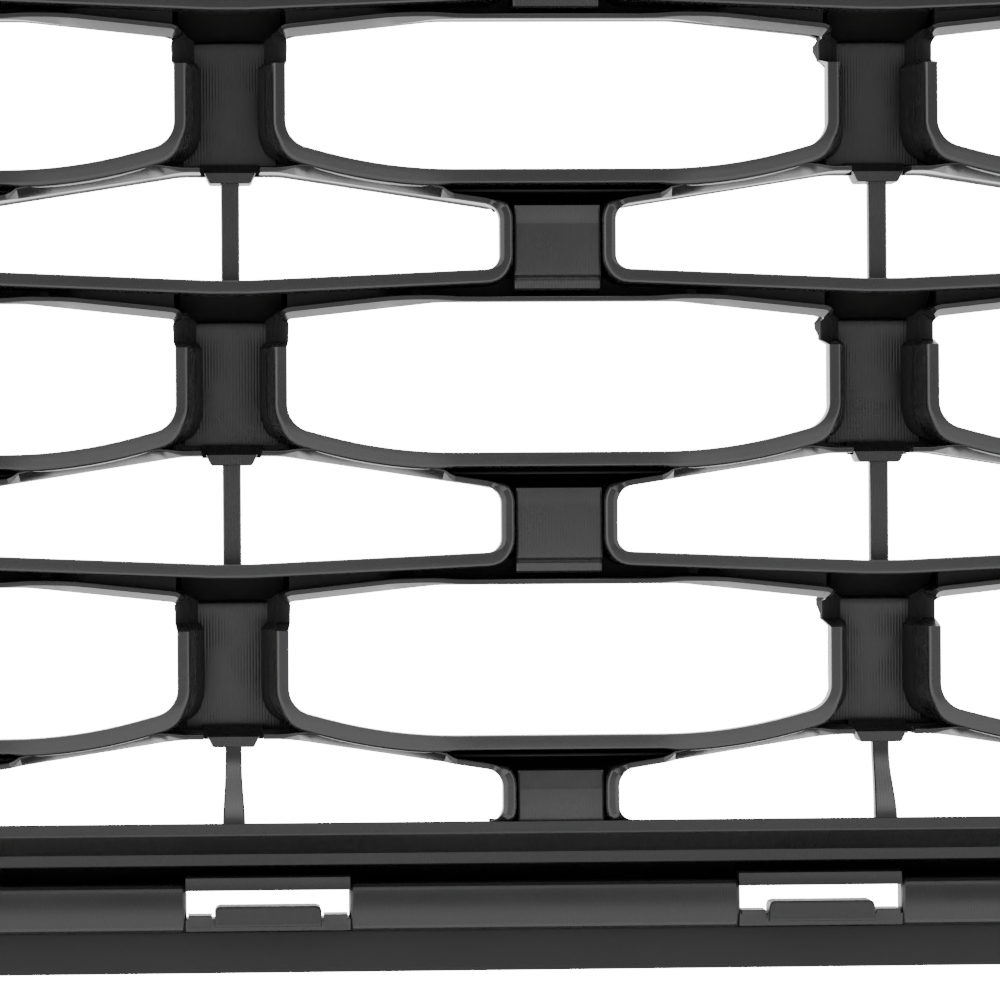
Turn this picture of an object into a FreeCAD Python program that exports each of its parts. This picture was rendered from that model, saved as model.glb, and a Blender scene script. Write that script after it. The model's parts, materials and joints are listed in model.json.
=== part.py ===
import FreeCAD, Part
import math
import os
import Sketcher

# Front grille.  Millimetres, +Z up, the show side faces -Y and the hollow side faces +Y.
# The origin is the centre locating hole of the upper mounting bracket, at the bracket's underside.

Vector = FreeCAD.Vector

SCREWS_EACH_SIDE = 3
STUDS = 3
END_SCREWS = (-0.5, 0.5)
RETAINERS = (-1.5, -0.5, 0.5, 1.5)
CLIPS = (-4.75, -1.5, 1.5, 4.75)
NEARLY_STRAIGHT = 0.001

SIZES = [
    # cell lattice
    ("pitch_x", 119.0, "large cell to large cell, across"),
    ("pitch_z", 51.5, "large row to large row, down"),
    ("cells_across", 9, "large cells in a row, odd"),
    ("large_rows", 5, "rows of large cells"),
    ("post_width", 20.2, "plastic between two large openings"),
    ("small_post_width", 21.2, "plastic between two small openings"),
    ("large_height", 27.4, "large opening at its middle"),
    ("large_top_flat", 22.0, "half of the level part of the top edge"),
    ("large_top_slope", 0.108, "fall of the top edge per millimetre beyond the level part"),
    ("large_bottom_flat", 30.8, "half of the bottom edge before it turns up"),
    ("large_bottom_slope", 0.272, "rise of the bottom edge beyond that"),
    ("bar_above_small", 0.4, "large opening's bottom to small opening's top"),
    ("bar_below_small", 4.0, "small opening's bottom to the next large opening's top"),
    ("small_top_flat", 9.0, "half of the level part of a small opening's top edge"),
    ("small_top_slope", 0.156, "fall of the top edge beyond the level part"),
    ("small_bottom_slope", 0.04, "rise of the bottom edge"),
    ("large_top_round", 30.0, "arc where the top edge starts to fall"),
    ("large_shoulder_round", 1.0, "arc at the top corners"),
    ("large_hip_round", 4.5, "arc at the bottom corners"),
    ("large_bottom_round", 90.0, "arc where the bottom edge turns up"),
    ("small_top_round", 20.0, "arc where a small opening's top edge starts to fall"),
    ("small_shoulder_round", 3.0, "arc at a small opening's top corners"),
    ("small_hip_round", 2.5, "arc at a small opening's bottom corners"),
    ("slight_round", 0.5, "arc at corners that are nearly sharp"),
    ("last_small_height", 16.7, "opening height of the bottom row of small cells"),
    ("large_lip", 2.7, "wall round a large opening, sides and bottom"),
    ("small_lip", 2.4, "wall round a small opening, sides and bottom"),
    ("top_wall", 1.2, "thin wall along every opening's top edge"),
    ("depth", 23.0, "show face to rear lips"),
    ("skin", 2.5, "show face wall"),
    ("lip_setback", 18.0, "rear lips ahead of the locating hole"),
    # posts and ties
    ("floor_depth", 16.5, "rear lips down to a large post's floor"),
    ("floor_wall", 2.0, "thickness of a post floor"),
    ("floor_top_gap", 3.5, "large opening's top down to the floor's top edge"),
    ("floor_bottom_gap", 1.0, "large opening's bottom up to the floor's bottom edge"),
    ("panel_depth", 1.5, "rear lips down to a small post's panel"),
    ("tie_width", 3.4, "rib across each small opening"),
    ("tie_wall", 3.0, "thickness of that rib"),
    ("tie_depth", 8.5, "rear lips down to the rib"),
    ("tongue_width", 9.0, "tongue that the rib hangs from"),
    ("tongue_drop", 1.1, "tongue below the small opening's top edge"),
    ("hollow_post_width", 10.0, "box post used in place of the rib in one row"),
    ("hollow_post_wall", 1.8, "wall of that box post"),
    ("hollow_post_row", 1, "row of small cells that has it, counted from the top"),
    # top rail and ends
    ("top_rail", 24.0, "top edge down to the first large opening"),
    ("top_shelf", 15.0, "depth of the shelf along the top edge"),
    ("end_wall", 3.0, "wall at each end of the lattice"),
    ("end_flange", 30.0, "flange beyond the lattice at each end"),
    # lower rail
    ("rail_lip", 1.8, "lip under the last openings"),
    ("rail_slope", 3.5, "height of the sloping wall under the lip"),
    ("rail_shelf", 1.8, "height of the shelf under the slope"),
    ("rail_groove", 2.9, "height of the deep groove"),
    ("rail_panel", 8.6, "height of the slotted panel"),
    ("rail_flange", 7.6, "height of the flat flange at the bottom"),
    ("shelf_depth", 8.0, "rear lips down to the shelf"),
    ("groove_depth", 12.0, "rear lips down to the groove"),
    ("rail_panel_depth", 5.0, "rear lips down to the slotted panel"),
    ("panel_crown", 0.8, "how far the panel's middle stands out"),
    ("flange_depth", 7.0, "rear lips down to the flange"),
    ("rail_wall", 2.3, "wall of the rail"),
    ("rail_web", 1.8, "wall of the rail's level steps"),
    ("rail_break", 0.5, "broken corners of the rail"),
    ("slot_pitch", 101.2, "slot to slot"),
    ("slots_each_side", 5, "slots on each side of the middle one"),
    ("slot_length", 29.6, "slot, across"),
    ("slot_height", 4.4, "slot, up and down"),
    ("slot_below_panel_top", 1.0, "panel's top edge down to the slot"),
    ("hook_width", 19.4, "tab under each slot"),
    ("hook_height", 3.7, "tab, up and down"),
    ("hook_rise", 1.7, "tab above the slot's lower edge"),
    ("hook_stand", 2.5, "tab behind the panel"),
    ("locator_radius", 4.0, "lower locating pins and centre hole"),
    ("locator_length", 20.0, "lower locating pins behind the panel"),
    ("locator_shoulder", 1.0, "shoulder under the rubber ring, beyond the pin's radius"),
    ("locator_relief", 0.6, "relief groove between shoulder and pin, along and in"),
    # upper bracket, retainers and what sits on it
    ("bracket_wall", 3.0, "upper bracket plate"),
    ("bracket_overhang", 14.0, "plate behind the locating hole"),
    ("bracket_rib", 8.0, "downturned rear edge"),
    ("screw_pitch", 160.0, "screws along the top"),
    ("screw_radius", 2.0, "self-tapping screw shank"),
    ("screw_head_radius", 4.5, "screw head"),
    ("screw_head", 2.0, "screw head thickness"),
    ("screw_length", 11.0, "screw below its head"),
    ("pilot_clearance", 0.05, "pilot hole round a screw shank"),
    ("hole_clearance", 0.25, "clearance hole round a shank"),
    ("boss_radius", 4.5, "screw boss"),
    ("boss_rib", 2.0, "rib that ties a boss to the show face"),
    ("boss_gap", 1.0, "boss clear of the show face's wall"),
    ("screw_row_raise", 1.0, "trim screws above the top rail's middle"),
    ("retainer_pitch", 240.0, "push-in retainers along the top"),
    ("sleeve_radius", 4.0, "retainer sleeve shank"),
    ("sleeve_flange_radius", 9.0, "retainer sleeve flange"),
    ("sleeve_flange", 1.5, "retainer sleeve flange thickness"),
    ("sleeve_reach", 9.0, "retainer sleeve below the bracket's underside"),
    ("sleeve_neck_radius", 3.5, "neck that snaps into the bracket"),
    ("sleeve_snap", 0.3, "gap between the bracket and the shank below it"),
    ("pin_radius", 2.0, "retainer centre pin"),
    ("pin_clearance", 0.3, "centre pin in its sleeve"),
    ("pin_head_radius", 6.0, "centre pin head"),
    ("pin_head", 1.8, "centre pin head thickness"),
    ("pin_short", 1.0, "centre pin's tip inside its sleeve"),
    ("pin_point", 2.0, "taper of the centre pin's tip"),
    ("stop_place", 300.0, "bump stops from the middle"),
    ("stop_radius", 10.0, "bump stop"),
    ("stop_height", 12.0, "bump stop above the bracket"),
    ("stop_stem", 5.0, "bump stop's stem below the bracket"),
    ("stop_barb", 1.5, "swelling of the stem, out and down"),
    ("seal_width", 12.0, "foam seal"),
    ("seal_height", 10.0, "foam seal above the bracket"),
    ("seal_back", 10.0, "foam seal ahead of the locating hole"),
    # trims
    ("trim_wall", 2.5, "trim moulding wall"),
    ("trim_depth", 15.0, "trim ahead of the show face"),
    ("trim_low_in", 4.0, "upper trim's lower bevel, fore and aft"),
    ("trim_low_up", 7.0, "upper trim's lower bevel, up and down"),
    ("trim_high_in", 6.0, "upper trim's upper bevel, fore and aft"),
    ("trim_high_down", 10.0, "upper trim's upper bevel, up and down"),
    ("side_trim_bevel", 5.0, "side trim's bevels, fore and aft"),
    ("upper_trim_below", 22.0, "upper trim below the top edge"),
    ("upper_trim_above", 12.0, "upper trim above the top edge"),
    ("side_trim_inset", 1.5, "side trim outside the lattice"),
    ("side_trim_overhang", 6.0, "side trim beyond the flange"),
    ("side_trim_rise", 4.5, "side trim's lower end above the rail"),
    ("trim_gap", 0.4, "gap between upper and side trims"),
    ("stud_radius", 2.5, "side trim studs"),
    ("stud_pitch", 110.0, "side trim studs, up and down"),
    ("stud_first", 40.0, "top edge down to the first stud"),
    ("stud_reach", 9.0, "studs behind the show face"),
    ("stud_inward", 1.0, "studs inward of the flange's middle line"),
    ("nut_radius", 6.0, "push nut"),
    ("nut_height", 1.6, "push nut dome"),
    ("nut_sheet", 0.6, "push nut sheet"),
    # end brackets, baffles and lower clip nuts
    ("end_bracket_wall", 2.5, "fender bracket sheet"),
    ("end_bracket_height", 60.0, "fender bracket, up and down"),
    ("end_bracket_top", 65.0, "top edge down to the fender bracket"),
    ("end_bracket_foot", 16.0, "foot on the flange"),
    ("end_bracket_web", 34.0, "web behind the foot"),
    ("end_bracket_tab", 33.0, "tab that the fender bolts to"),
    ("fender_hole_radius", 3.3, "fender bolt holes"),
    ("fender_hole_pitch", 30.0, "fender bolt holes, up and down"),
    ("baffle_wall", 3.0, "rubber air baffle"),
    ("baffle_foot", 8.5, "baffle foot on the flange"),
    ("baffle_reach", 58.0, "baffle behind the flange"),
    ("baffle_lean", 3.0, "baffle's rear edge leans inward by"),
    ("baffle_gap", 3.5, "baffle outside the end wall"),
    ("baffle_top", 30.0, "top edge down to the baffle"),
    ("baffle_rise", 8.0, "baffle's lower end above the rail"),
    ("clip_width", 14.0, "lower clip nut"),
    ("clip_sheet", 1.0, "clip nut sheet"),
    ("clip_reach", 7.0, "clip nut up the flange"),
    ("clip_bore", 2.1, "clip nut bore"),
    ("clip_hole", 3.1, "hole in the flange under a clip nut"),
    ("grommet_radius", 8.0, "rubber ring on a locating pin"),
    ("grommet_length", 6.5, "rubber ring, along the pin"),
    ("overlap", 1.0, "run of one boolean shape into or past the next"),
]

# Where things lie, worked out once in the sheet from the sizes above.
PLACES = [
    ("y_lip", "-lip_setback"),
    ("y_show", "-lip_setback - depth"),
    ("y_skin", "-lip_setback - depth + skin"),
    ("half_lattice", "cells_across * pitch_x / 2"),
    ("half_insert", "cells_across * pitch_x / 2 + end_flange"),
    ("z_rail", "-top_rail - (large_rows - 1) * pitch_z - large_height - bar_above_small - last_small_height"),
    ("rail_height", "rail_lip + rail_slope + rail_shelf + rail_groove + rail_panel + rail_flange"),
    ("z_panel", "z_rail - rail_lip - rail_slope - rail_shelf - rail_groove"),
    ("z_flange", "z_rail - rail_height + rail_flange"),
    ("y_flange", "y_lip - flange_depth"),
    ("x_stud", "half_insert - end_bracket_foot / 2 - stud_inward"),
    ("y_screw_row", "y_skin + boss_radius + boss_gap"),
    ("z_screw_row", "-top_rail / 2 + screw_row_raise"),
]

doc = FreeCAD.newDocument("front_grille")
sheet = doc.addObject("Spreadsheet::Sheet", "Sizes")
row = 0
for alias, value, meaning in SIZES:
    row += 1
    sheet.set("A%d" % row, str(value))
    sheet.set("B%d" % row, meaning)
    sheet.setAlias("A%d" % row, alias)
for alias, formula in PLACES:
    row += 1
    sheet.set("A%d" % row, "=" + formula)
    sheet.setAlias("A%d" % row, alias)
doc.recompute()

ALIASES = sorted([entry[0] for entry in SIZES] + [entry[0] for entry in PLACES], key=len, reverse=True)
size = {}
for alias in ALIASES:
    size[alias] = float(sheet.get(alias))

sub_parts = []


# ---- document helpers --------------------------------------------------------------------------

def bound(formula):
    """The formula with every alias pointed at the sheet, as setExpression wants it."""
    words = []
    word = ""
    for letter in str(formula) + " ":
        if letter.isalnum() or letter == "_":
            word += letter
            continue
        words.append("Sizes." + word if word in size else word)
        words.append(letter)
        word = ""
    return "".join(words).strip()


def bind(thing, **formulas):
    """Bind properties; a double underscore in a name stands for a dot."""
    for name, formula in formulas.items():
        thing.setExpression(name.replace("__", "."), bound(formula))


def keep(thing, label):
    """Mark an object as a sub-part whose label names its file."""
    thing.Label = label
    sub_parts.append(thing)
    return thing


def box(low, high):
    """A box between two corners given as formulas."""
    solid = doc.addObject("Part::Box", "block")
    bind(solid, Length="(%s) - (%s)" % (high[0], low[0]), Width="(%s) - (%s)" % (high[1], low[1]))
    bind(solid, Height="(%s) - (%s)" % (high[2], low[2]), Placement__Base__x=low[0])
    bind(solid, Placement__Base__y=low[1], Placement__Base__z=low[2])
    return solid


TURNS = {
    "X": FreeCAD.Rotation(Vector(0, 1, 0), 90),
    "Y": FreeCAD.Rotation(Vector(1, 0, 0), -90),
    "Z": FreeCAD.Rotation(),
}


def cylinder(axis, start, radius, length):
    """A cylinder from a start point along +X, +Y or +Z."""
    solid = doc.addObject("Part::Cylinder", "round")
    solid.Placement = FreeCAD.Placement(Vector(), TURNS[axis])
    bind(solid, Radius=radius, Height=length, Placement__Base__x=start[0])
    bind(solid, Placement__Base__y=start[1], Placement__Base__z=start[2])
    return solid


def joined(solids):
    union = doc.addObject("Part::MultiFuse", "union")
    union.Shapes = solids
    return union


def without(base, tools):
    cut = doc.addObject("Part::Cut", "cut")
    cut.Base = base
    cut.Tool = tools[0] if len(tools) == 1 else joined(tools)
    return cut


def group(solids, label):
    """Identical loose pieces that share one node."""
    several = doc.addObject("Part::Compound", "group")
    several.Links = solids
    return keep(several, label)


def new_body(label):
    return keep(doc.addObject("PartDesign::Body", label), label)


def new_sketch(body, plane, offset="0"):
    """A sketch on one of the body's own origin planes, moved along that plane's normal."""
    sketch = body.newObject("Sketcher::SketchObject", "outline")
    support = [item for item in body.Origin.OriginFeatures if item.Role == plane][0]
    sketch.AttachmentSupport = [(support, "")]
    sketch.MapMode = "FlatFace"
    sketch.setExpression("AttachmentOffset.Base.z", bound(offset))
    return sketch


def place_point(sketch, name, index, point, corner):
    """Tie one sketch point to two formulas, measured from the sketch's origin."""
    for letter, kind, formula in (("x", "DistanceX", corner[0]), ("y", "DistanceY", corner[1])):
        value = sketch.evalExpression(bound(formula))
        number = sketch.addConstraint(Sketcher.Constraint(kind, -1, 1, index, point, float(value)))
        sketch.renameConstraint(number, name + letter)
        sketch.setExpression("Constraints." + name + letter, bound(formula))


def add_polygon(sketch, corners):
    spots = []
    for corner in corners:
        spots.append([float(sketch.evalExpression(bound(formula))) for formula in corner])
    first = sketch.GeometryCount
    count = len(spots)
    for i in range(count):
        after = spots[(i + 1) % count]
        line = Part.LineSegment(Vector(spots[i][0], spots[i][1], 0), Vector(after[0], after[1], 0))
        sketch.addGeometry(line)
    for i in range(count):
        sketch.addConstraint(Sketcher.Constraint("Coincident", first + i, 2, first + (i + 1) % count, 1))
    for i in range(count):
        place_point(sketch, "corner%d" % (first + i), first + i, 1, corners[i])


def add_circle(sketch, centre, radius):
    spot = [float(sketch.evalExpression(bound(formula))) for formula in centre]
    value = float(sketch.evalExpression(bound(radius)))
    index = sketch.addGeometry(Part.Circle(Vector(spot[0], spot[1], 0), Vector(0, 0, 1), value))
    place_point(sketch, "centre%d" % index, index, 3, centre)
    number = sketch.addConstraint(Sketcher.Constraint("Radius", index, value))
    sketch.renameConstraint(number, "radius%d" % index)
    sketch.setExpression("Constraints.radius%d" % index, bound(radius))


def pad(body, sketch, length, centred=False):
    feature = body.newObject("PartDesign::Pad", "pad")
    feature.Profile = sketch
    feature.setExpression("Length", bound(length))
    if centred:
        feature.SideType = "Symmetric"
    doc.recompute()
    return feature


def pocket(body, sketch, length, backwards=False):
    """Cut the sketch into the body and make sure that it removed something."""
    before = body.Shape.Volume
    feature = body.newObject("PartDesign::Pocket", "pocket")
    feature.Profile = sketch
    feature.Reversed = backwards
    feature.setExpression("Length", bound(length))
    doc.recompute()
    if body.Shape.Volume > before - 1:
        raise RuntimeError(body.Label + ": a pocket cut nothing")
    return feature


def turned(body, corners):
    """Turn a half section, given as radius and height, about the body's Z axis."""
    sketch = new_sketch(body, "XZ_Plane")
    add_polygon(sketch, corners)
    feature = body.newObject("PartDesign::Revolution", "turned")
    feature.Profile = sketch
    feature.ReferenceAxis = (sketch, ["V_Axis"])
    feature.Angle = 360
    doc.recompute()
    return feature


# ---- the insert: one moulding ------------------------------------------------------------------

def rounded_wire(corners, y):
    """A closed outline through (x, z, radius) corners, each rounded by a tangent arc."""
    runs = []
    count = len(corners)
    for i in range(count):
        x, z, radius = corners[i]
        here = Vector(x, y, z)
        before = Vector(corners[i - 1][0], y, corners[i - 1][1]) - here
        after = Vector(corners[(i + 1) % count][0], y, corners[(i + 1) % count][1]) - here
        before.normalize()
        after.normalize()
        half_turn = (math.pi - before.getAngle(after)) / 2
        if half_turn < NEARLY_STRAIGHT:
            runs.append((here, None, here))
            continue
        reach = radius * math.tan(half_turn)
        middle = before + after
        middle.normalize()
        top = here + middle * (radius / math.cos(half_turn) - radius)
        runs.append((here + before * reach, top, here + after * reach))
    edges = []
    for i in range(count):
        start, top, end = runs[i]
        following = runs[(i + 1) % count][0]
        if top is not None:
            edges.append(Part.Arc(start, top, end).toShape())
        edges.append(Part.LineSegment(end, following).toShape())
    return Part.Wire(edges)


def large_corners(x, z_top, lip, top):
    """A large opening grown by lip at its sides and bottom and by top at its top edge."""
    half = (size["pitch_x"] - size["post_width"]) / 2 + lip
    high = z_top + top
    low = z_top - size["large_height"] - lip
    shoulder = high - (half - size["large_top_flat"]) * size["large_top_slope"]
    hip = low + (half - size["large_bottom_flat"]) * size["large_bottom_slope"]
    right = [
        (size["large_top_flat"], high, size["large_top_round"]),
        (half, shoulder, size["large_shoulder_round"]),
        (half, hip, size["large_hip_round"] + lip),
        (size["large_bottom_flat"], low, size["large_bottom_round"]),
    ]
    left = [(-across, up, radius) for across, up, radius in reversed(right)]
    return [(x + across, up, radius) for across, up, radius in right + left]


def small_corners(x, z_top, height, rise, lip, top):
    """A small opening grown by lip at its sides and bottom and by top at its top edge."""
    half = (size["pitch_x"] - size["small_post_width"]) / 2 + lip
    high = z_top + top
    low = z_top - height - lip
    shoulder = high - (half - size["small_top_flat"]) * size["small_top_slope"]
    right = [
        (size["small_top_flat"], high, size["small_top_round"]),
        (half, shoulder, size["small_shoulder_round"]),
        (half, low + half * rise, size["small_hip_round"]),
        (size["tie_width"], low, size["slight_round"]),
    ]
    left = [(-across, up, radius) for across, up, radius in reversed(right)]
    return [(x + across, up, radius) for across, up, radius in right + left]


def clipped_half(corners, x, limit):
    """The half of an outline that faces the middle of the grille, ended at a straight wall."""
    high = max(corner[1] for corner in corners)
    low = min(corner[1] for corner in corners)
    half = len(corners) // 2
    arc = size["slight_round"]
    if x > 0:
        return [(limit, low, arc)] + corners[half:] + [(limit, high, arc)]
    return [(limit, high, arc)] + corners[:half] + [(limit, low, arc)]


def slab(low, high):
    """A plain box for the moulding's own boolean."""
    return Part.makeBox(high[0] - low[0], high[1] - low[1], high[2] - low[2], Vector(*low))


def cell_outlines():
    """Every opening and the outside of the ring round it, as pairs of corner lists."""
    pairs = []
    half_count = (int(size["cells_across"]) - 1) // 2
    lip = size["large_lip"]
    small_lip = size["small_lip"]
    top = size["top_wall"]
    for r in range(int(size["large_rows"])):
        z_top = -size["top_rail"] - r * size["pitch_z"]
        for k in range(-half_count, half_count + 1):
            x = k * size["pitch_x"]
            pairs.append((large_corners(x, z_top, 0, 0), large_corners(x, z_top, lip, top)))
        z_small = z_top - size["large_height"] - size["bar_above_small"]
        height = size["pitch_z"] - size["large_height"] - size["bar_above_small"] - size["bar_below_small"]
        rise = size["small_bottom_slope"]
        if r == int(size["large_rows"]) - 1:
            height = size["last_small_height"]
            rise = 0.0
        for k in range(-half_count - 1, half_count + 1):
            x = (k + 0.5) * size["pitch_x"]
            inner = small_corners(x, z_small, height, rise, 0, 0)
            outer = small_corners(x, z_small, height, rise, small_lip, top)
            if abs(k + 0.5) > half_count:
                end = math.copysign(size["half_lattice"] - size["end_wall"] / 2, x)
                inner = clipped_half(inner, x, end)
                outer = clipped_half(outer, x, end + math.copysign(size["end_wall"] / 2, x))
            pairs.append((inner, outer))
    return pairs


def lattice():
    """The show face with its openings, and a ring behind each opening."""
    pairs = cell_outlines()
    edge = size["half_insert"]
    arc = size["slight_round"]
    border = rounded_wire([
        (-edge, 0, arc),
        (edge, 0, arc),
        (edge, size["z_rail"] - size["rail_lip"], arc),
        (-edge, size["z_rail"] - size["rail_lip"], arc),
    ], size["y_show"])
    holes = [rounded_wire(inner, size["y_show"]) for inner, outer in pairs]
    face = Part.makeFace([border] + holes, "Part::FaceMakerBullseye")
    solids = [face.extrude(Vector(0, size["skin"], 0))]
    for inner, outer in pairs:
        ring = Part.makeFace(
            [rounded_wire(outer, size["y_skin"]), rounded_wire(inner, size["y_skin"])],
            "Part::FaceMakerBullseye",
        )
        solids.append(ring.extrude(Vector(0, size["depth"] - size["skin"], 0)))
    return solids


def posts():
    """Floors of the large posts, panels of the small posts, ties with their tongues."""
    solids = []
    half_count = (int(size["cells_across"]) - 1) // 2
    half_post = size["post_width"] / 2
    y_lip = size["y_lip"]
    y_core = size["y_skin"] + size["hollow_post_wall"]
    over = size["overlap"]
    for r in range(int(size["large_rows"])):
        z_top = -size["top_rail"] - r * size["pitch_z"]
        z_bottom = z_top - size["large_height"]
        z_small = z_bottom - size["bar_above_small"]
        last = r == int(size["large_rows"]) - 1
        z_small_bottom = z_top - size["pitch_z"] + size["bar_below_small"]
        if last:
            z_small_bottom = size["z_rail"]
        y_floor = y_lip - size["floor_depth"]
        for k in range(-half_count - 1, half_count + 1):
            x = (k + 0.5) * size["pitch_x"]
            outermost = abs(k + 0.5) > half_count
            half = half_post - size["large_lip"] / 2
            x_low = max(x - half, -size["half_lattice"])
            x_high = min(x + half, size["half_lattice"])
            solids.append(slab(
                (x_low, y_floor - size["floor_wall"], z_bottom + size["floor_bottom_gap"]),
                (x_high, y_floor, z_top - size["floor_top_gap"]),
            ))
            if outermost:
                continue
            if r == int(size["hollow_post_row"]):
                wide = size["hollow_post_width"] / 2
                inside = wide - size["hollow_post_wall"]
                shell = slab((x - wide, size["y_skin"], z_small_bottom - over), (x + wide, y_lip, z_small + over))
                core = slab((x - inside, y_core, z_small_bottom), (x + inside, y_lip + over, z_small))
                solids.append(shell.cut(core))
                continue
            y_tie = y_lip - size["tie_depth"]
            solids.append(slab(
                (x - size["tie_width"] / 2, y_tie - size["tie_wall"], z_small_bottom - over),
                (x + size["tie_width"] / 2, y_tie, z_small + size["top_wall"] / 2),
            ))
            solids.append(slab(
                (x - size["tongue_width"] / 2, y_floor, z_small - size["tongue_drop"]),
                (x + size["tongue_width"] / 2, y_tie, z_small + size["top_wall"]),
            ))
        for k in range(-half_count, half_count + 1):
            x = k * size["pitch_x"]
            half = (size["small_post_width"] - size["small_lip"]) / 2
            y_panel = y_lip - size["panel_depth"]
            high = z_bottom - size["large_lip"] - size["small_lip"]
            solids.append(slab(
                (x - half, y_panel - size["floor_wall"], z_small_bottom - size["small_lip"]),
                (x + half, y_panel, high - over),
            ))
    return solids


def rail_section():
    """The lower rail's closed section as (distance ahead of the lips, distance below z_rail)."""
    wall = size["rail_wall"]
    web = size["rail_web"]
    corner = size["rail_break"]
    slope_end = size["rail_lip"] + size["rail_slope"]
    shelf_end = slope_end + size["rail_shelf"]
    groove_end = shelf_end + size["rail_groove"]
    panel_end = groove_end + size["rail_panel"]
    panel_middle = (groove_end + panel_end) / 2
    crown = size["rail_panel_depth"] - size["panel_crown"]
    return [
        (0, 0),
        (0, size["rail_lip"]),
        (size["shelf_depth"] - corner, slope_end),
        (size["shelf_depth"], shelf_end),
        (size["groove_depth"], shelf_end),
        (size["groove_depth"], groove_end - corner),
        (size["rail_panel_depth"], groove_end),
        (crown, panel_middle),
        (size["rail_panel_depth"], panel_end - corner),
        (size["flange_depth"], panel_end),
        (size["flange_depth"], size["rail_height"]),
        (size["flange_depth"] + wall, size["rail_height"]),
        (size["flange_depth"] + wall, panel_end - web),
        (size["rail_panel_depth"] + wall, panel_end - corner - web),
        (crown + wall, panel_middle),
        (size["rail_panel_depth"] + wall, groove_end + web),
        (size["groove_depth"] + wall, groove_end + web),
        (size["groove_depth"] + wall, shelf_end - web),
        (size["shelf_depth"] + wall, slope_end - web),
        (wall * 2, size["rail_lip"]),
        (size["depth"], size["rail_lip"]),
        (size["depth"], 0),
    ]


def rail():
    """The rail, its slots, the hook tab under each slot and the locating pins at its ends."""
    edge = size["half_insert"]
    points = [Vector(-edge, size["y_lip"] - ahead, size["z_rail"] - down) for ahead, down in rail_section()]
    profile = Part.Face(Part.makePolygon(points + [points[0]]))
    body = profile.extrude(Vector(2 * edge, 0, 0))
    slot_top = size["z_panel"] - size["slot_below_panel_top"]
    slot_bottom = slot_top - size["slot_height"]
    y_panel = size["y_lip"] - size["rail_panel_depth"]
    slots = []
    tabs = []
    for n in range(-int(size["slots_each_side"]), int(size["slots_each_side"]) + 1):
        x = n * size["slot_pitch"]
        half = size["slot_length"] / 2
        slots.append(slab(
            (x - half, y_panel - 2 * size["rail_wall"], slot_bottom),
            (x + half, y_panel + 2 * size["panel_crown"], slot_top),
        ))
        tab_top = slot_bottom + size["hook_rise"]
        tabs.append(slab(
            (x - size["hook_width"] / 2, y_panel - size["rail_wall"], tab_top - size["hook_height"]),
            (x + size["hook_width"] / 2, y_panel + size["hook_stand"], tab_top),
        ))
    body = body.cut(Part.makeCompound(slots))
    pins = []
    for side in (-1, 1):
        radius = size["locator_radius"]
        inside = size["rail_wall"] / 2
        to_shoulder = inside + size["panel_crown"] + size["grommet_length"]
        to_tip = inside + size["locator_length"]
        to_groove = to_shoulder + size["locator_relief"]
        foot = Vector(side * x_locator(), y_panel - inside, z_locator())
        groove_end = foot + Vector(0, to_groove, 0)
        ahead = Vector(0, 1, 0)
        pins.append(Part.makeCylinder(radius + size["locator_shoulder"], to_shoulder, foot, ahead))
        pins.append(Part.makeCylinder(radius - size["locator_relief"], to_groove, foot, ahead))
        pins.append(Part.makeCylinder(radius, to_tip - to_groove, groove_end, ahead))
    return [body] + tabs + pins


def x_locator():
    return size["half_insert"] - size["end_flange"] / 2


def z_locator():
    return size["z_panel"] - size["rail_panel"] / 2


def top_and_ends():
    """The shelf along the top edge, screw bosses under it, and the wall at each end."""
    edge = size["half_insert"]
    solids = [slab((-edge, size["y_show"], -size["skin"]), (edge, size["y_show"] + size["top_shelf"], 0))]
    for side in (-1, 1):
        inner = size["half_lattice"] - size["end_wall"] / 2
        x_low = min(side * inner, side * (inner + size["end_wall"]))
        solids.append(slab(
            (x_low, size["y_show"] + size["skin"] / 2, size["z_rail"] - size["rail_lip"]),
            (x_low + size["end_wall"], size["y_lip"], -size["top_rail"] + size["top_wall"]),
        ))
    for x in bracket_screw_places():
        low = -size["screw_length"] - size["skin"]
        solids.append(Part.makeCylinder(
            size["boss_radius"], -low - size["skin"] / 2, Vector(x, size["y_screw_row"], low)))
        solids.append(slab(
            (x - size["boss_rib"] / 2, size["y_show"] + size["overlap"], low),
            (x + size["boss_rib"] / 2, size["y_screw_row"], -size["skin"] / 2),
        ))
    return solids


def bracket_screw_places():
    return [(k + 0.5) * size["screw_pitch"] for k in range(-SCREWS_EACH_SIDE, SCREWS_EACH_SIDE)]


def trim_screw_places():
    return [k * size["screw_pitch"] for k in range(-SCREWS_EACH_SIDE, SCREWS_EACH_SIDE + 1)]


def stud_heights():
    return [-size["stud_first"] - k * size["stud_pitch"] for k in range(STUDS)]


def end_screw_heights():
    middle = -size["end_bracket_top"] - size["end_bracket_height"] / 2
    return [middle + k * size["fender_hole_pitch"] for k in END_SCREWS]


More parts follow.
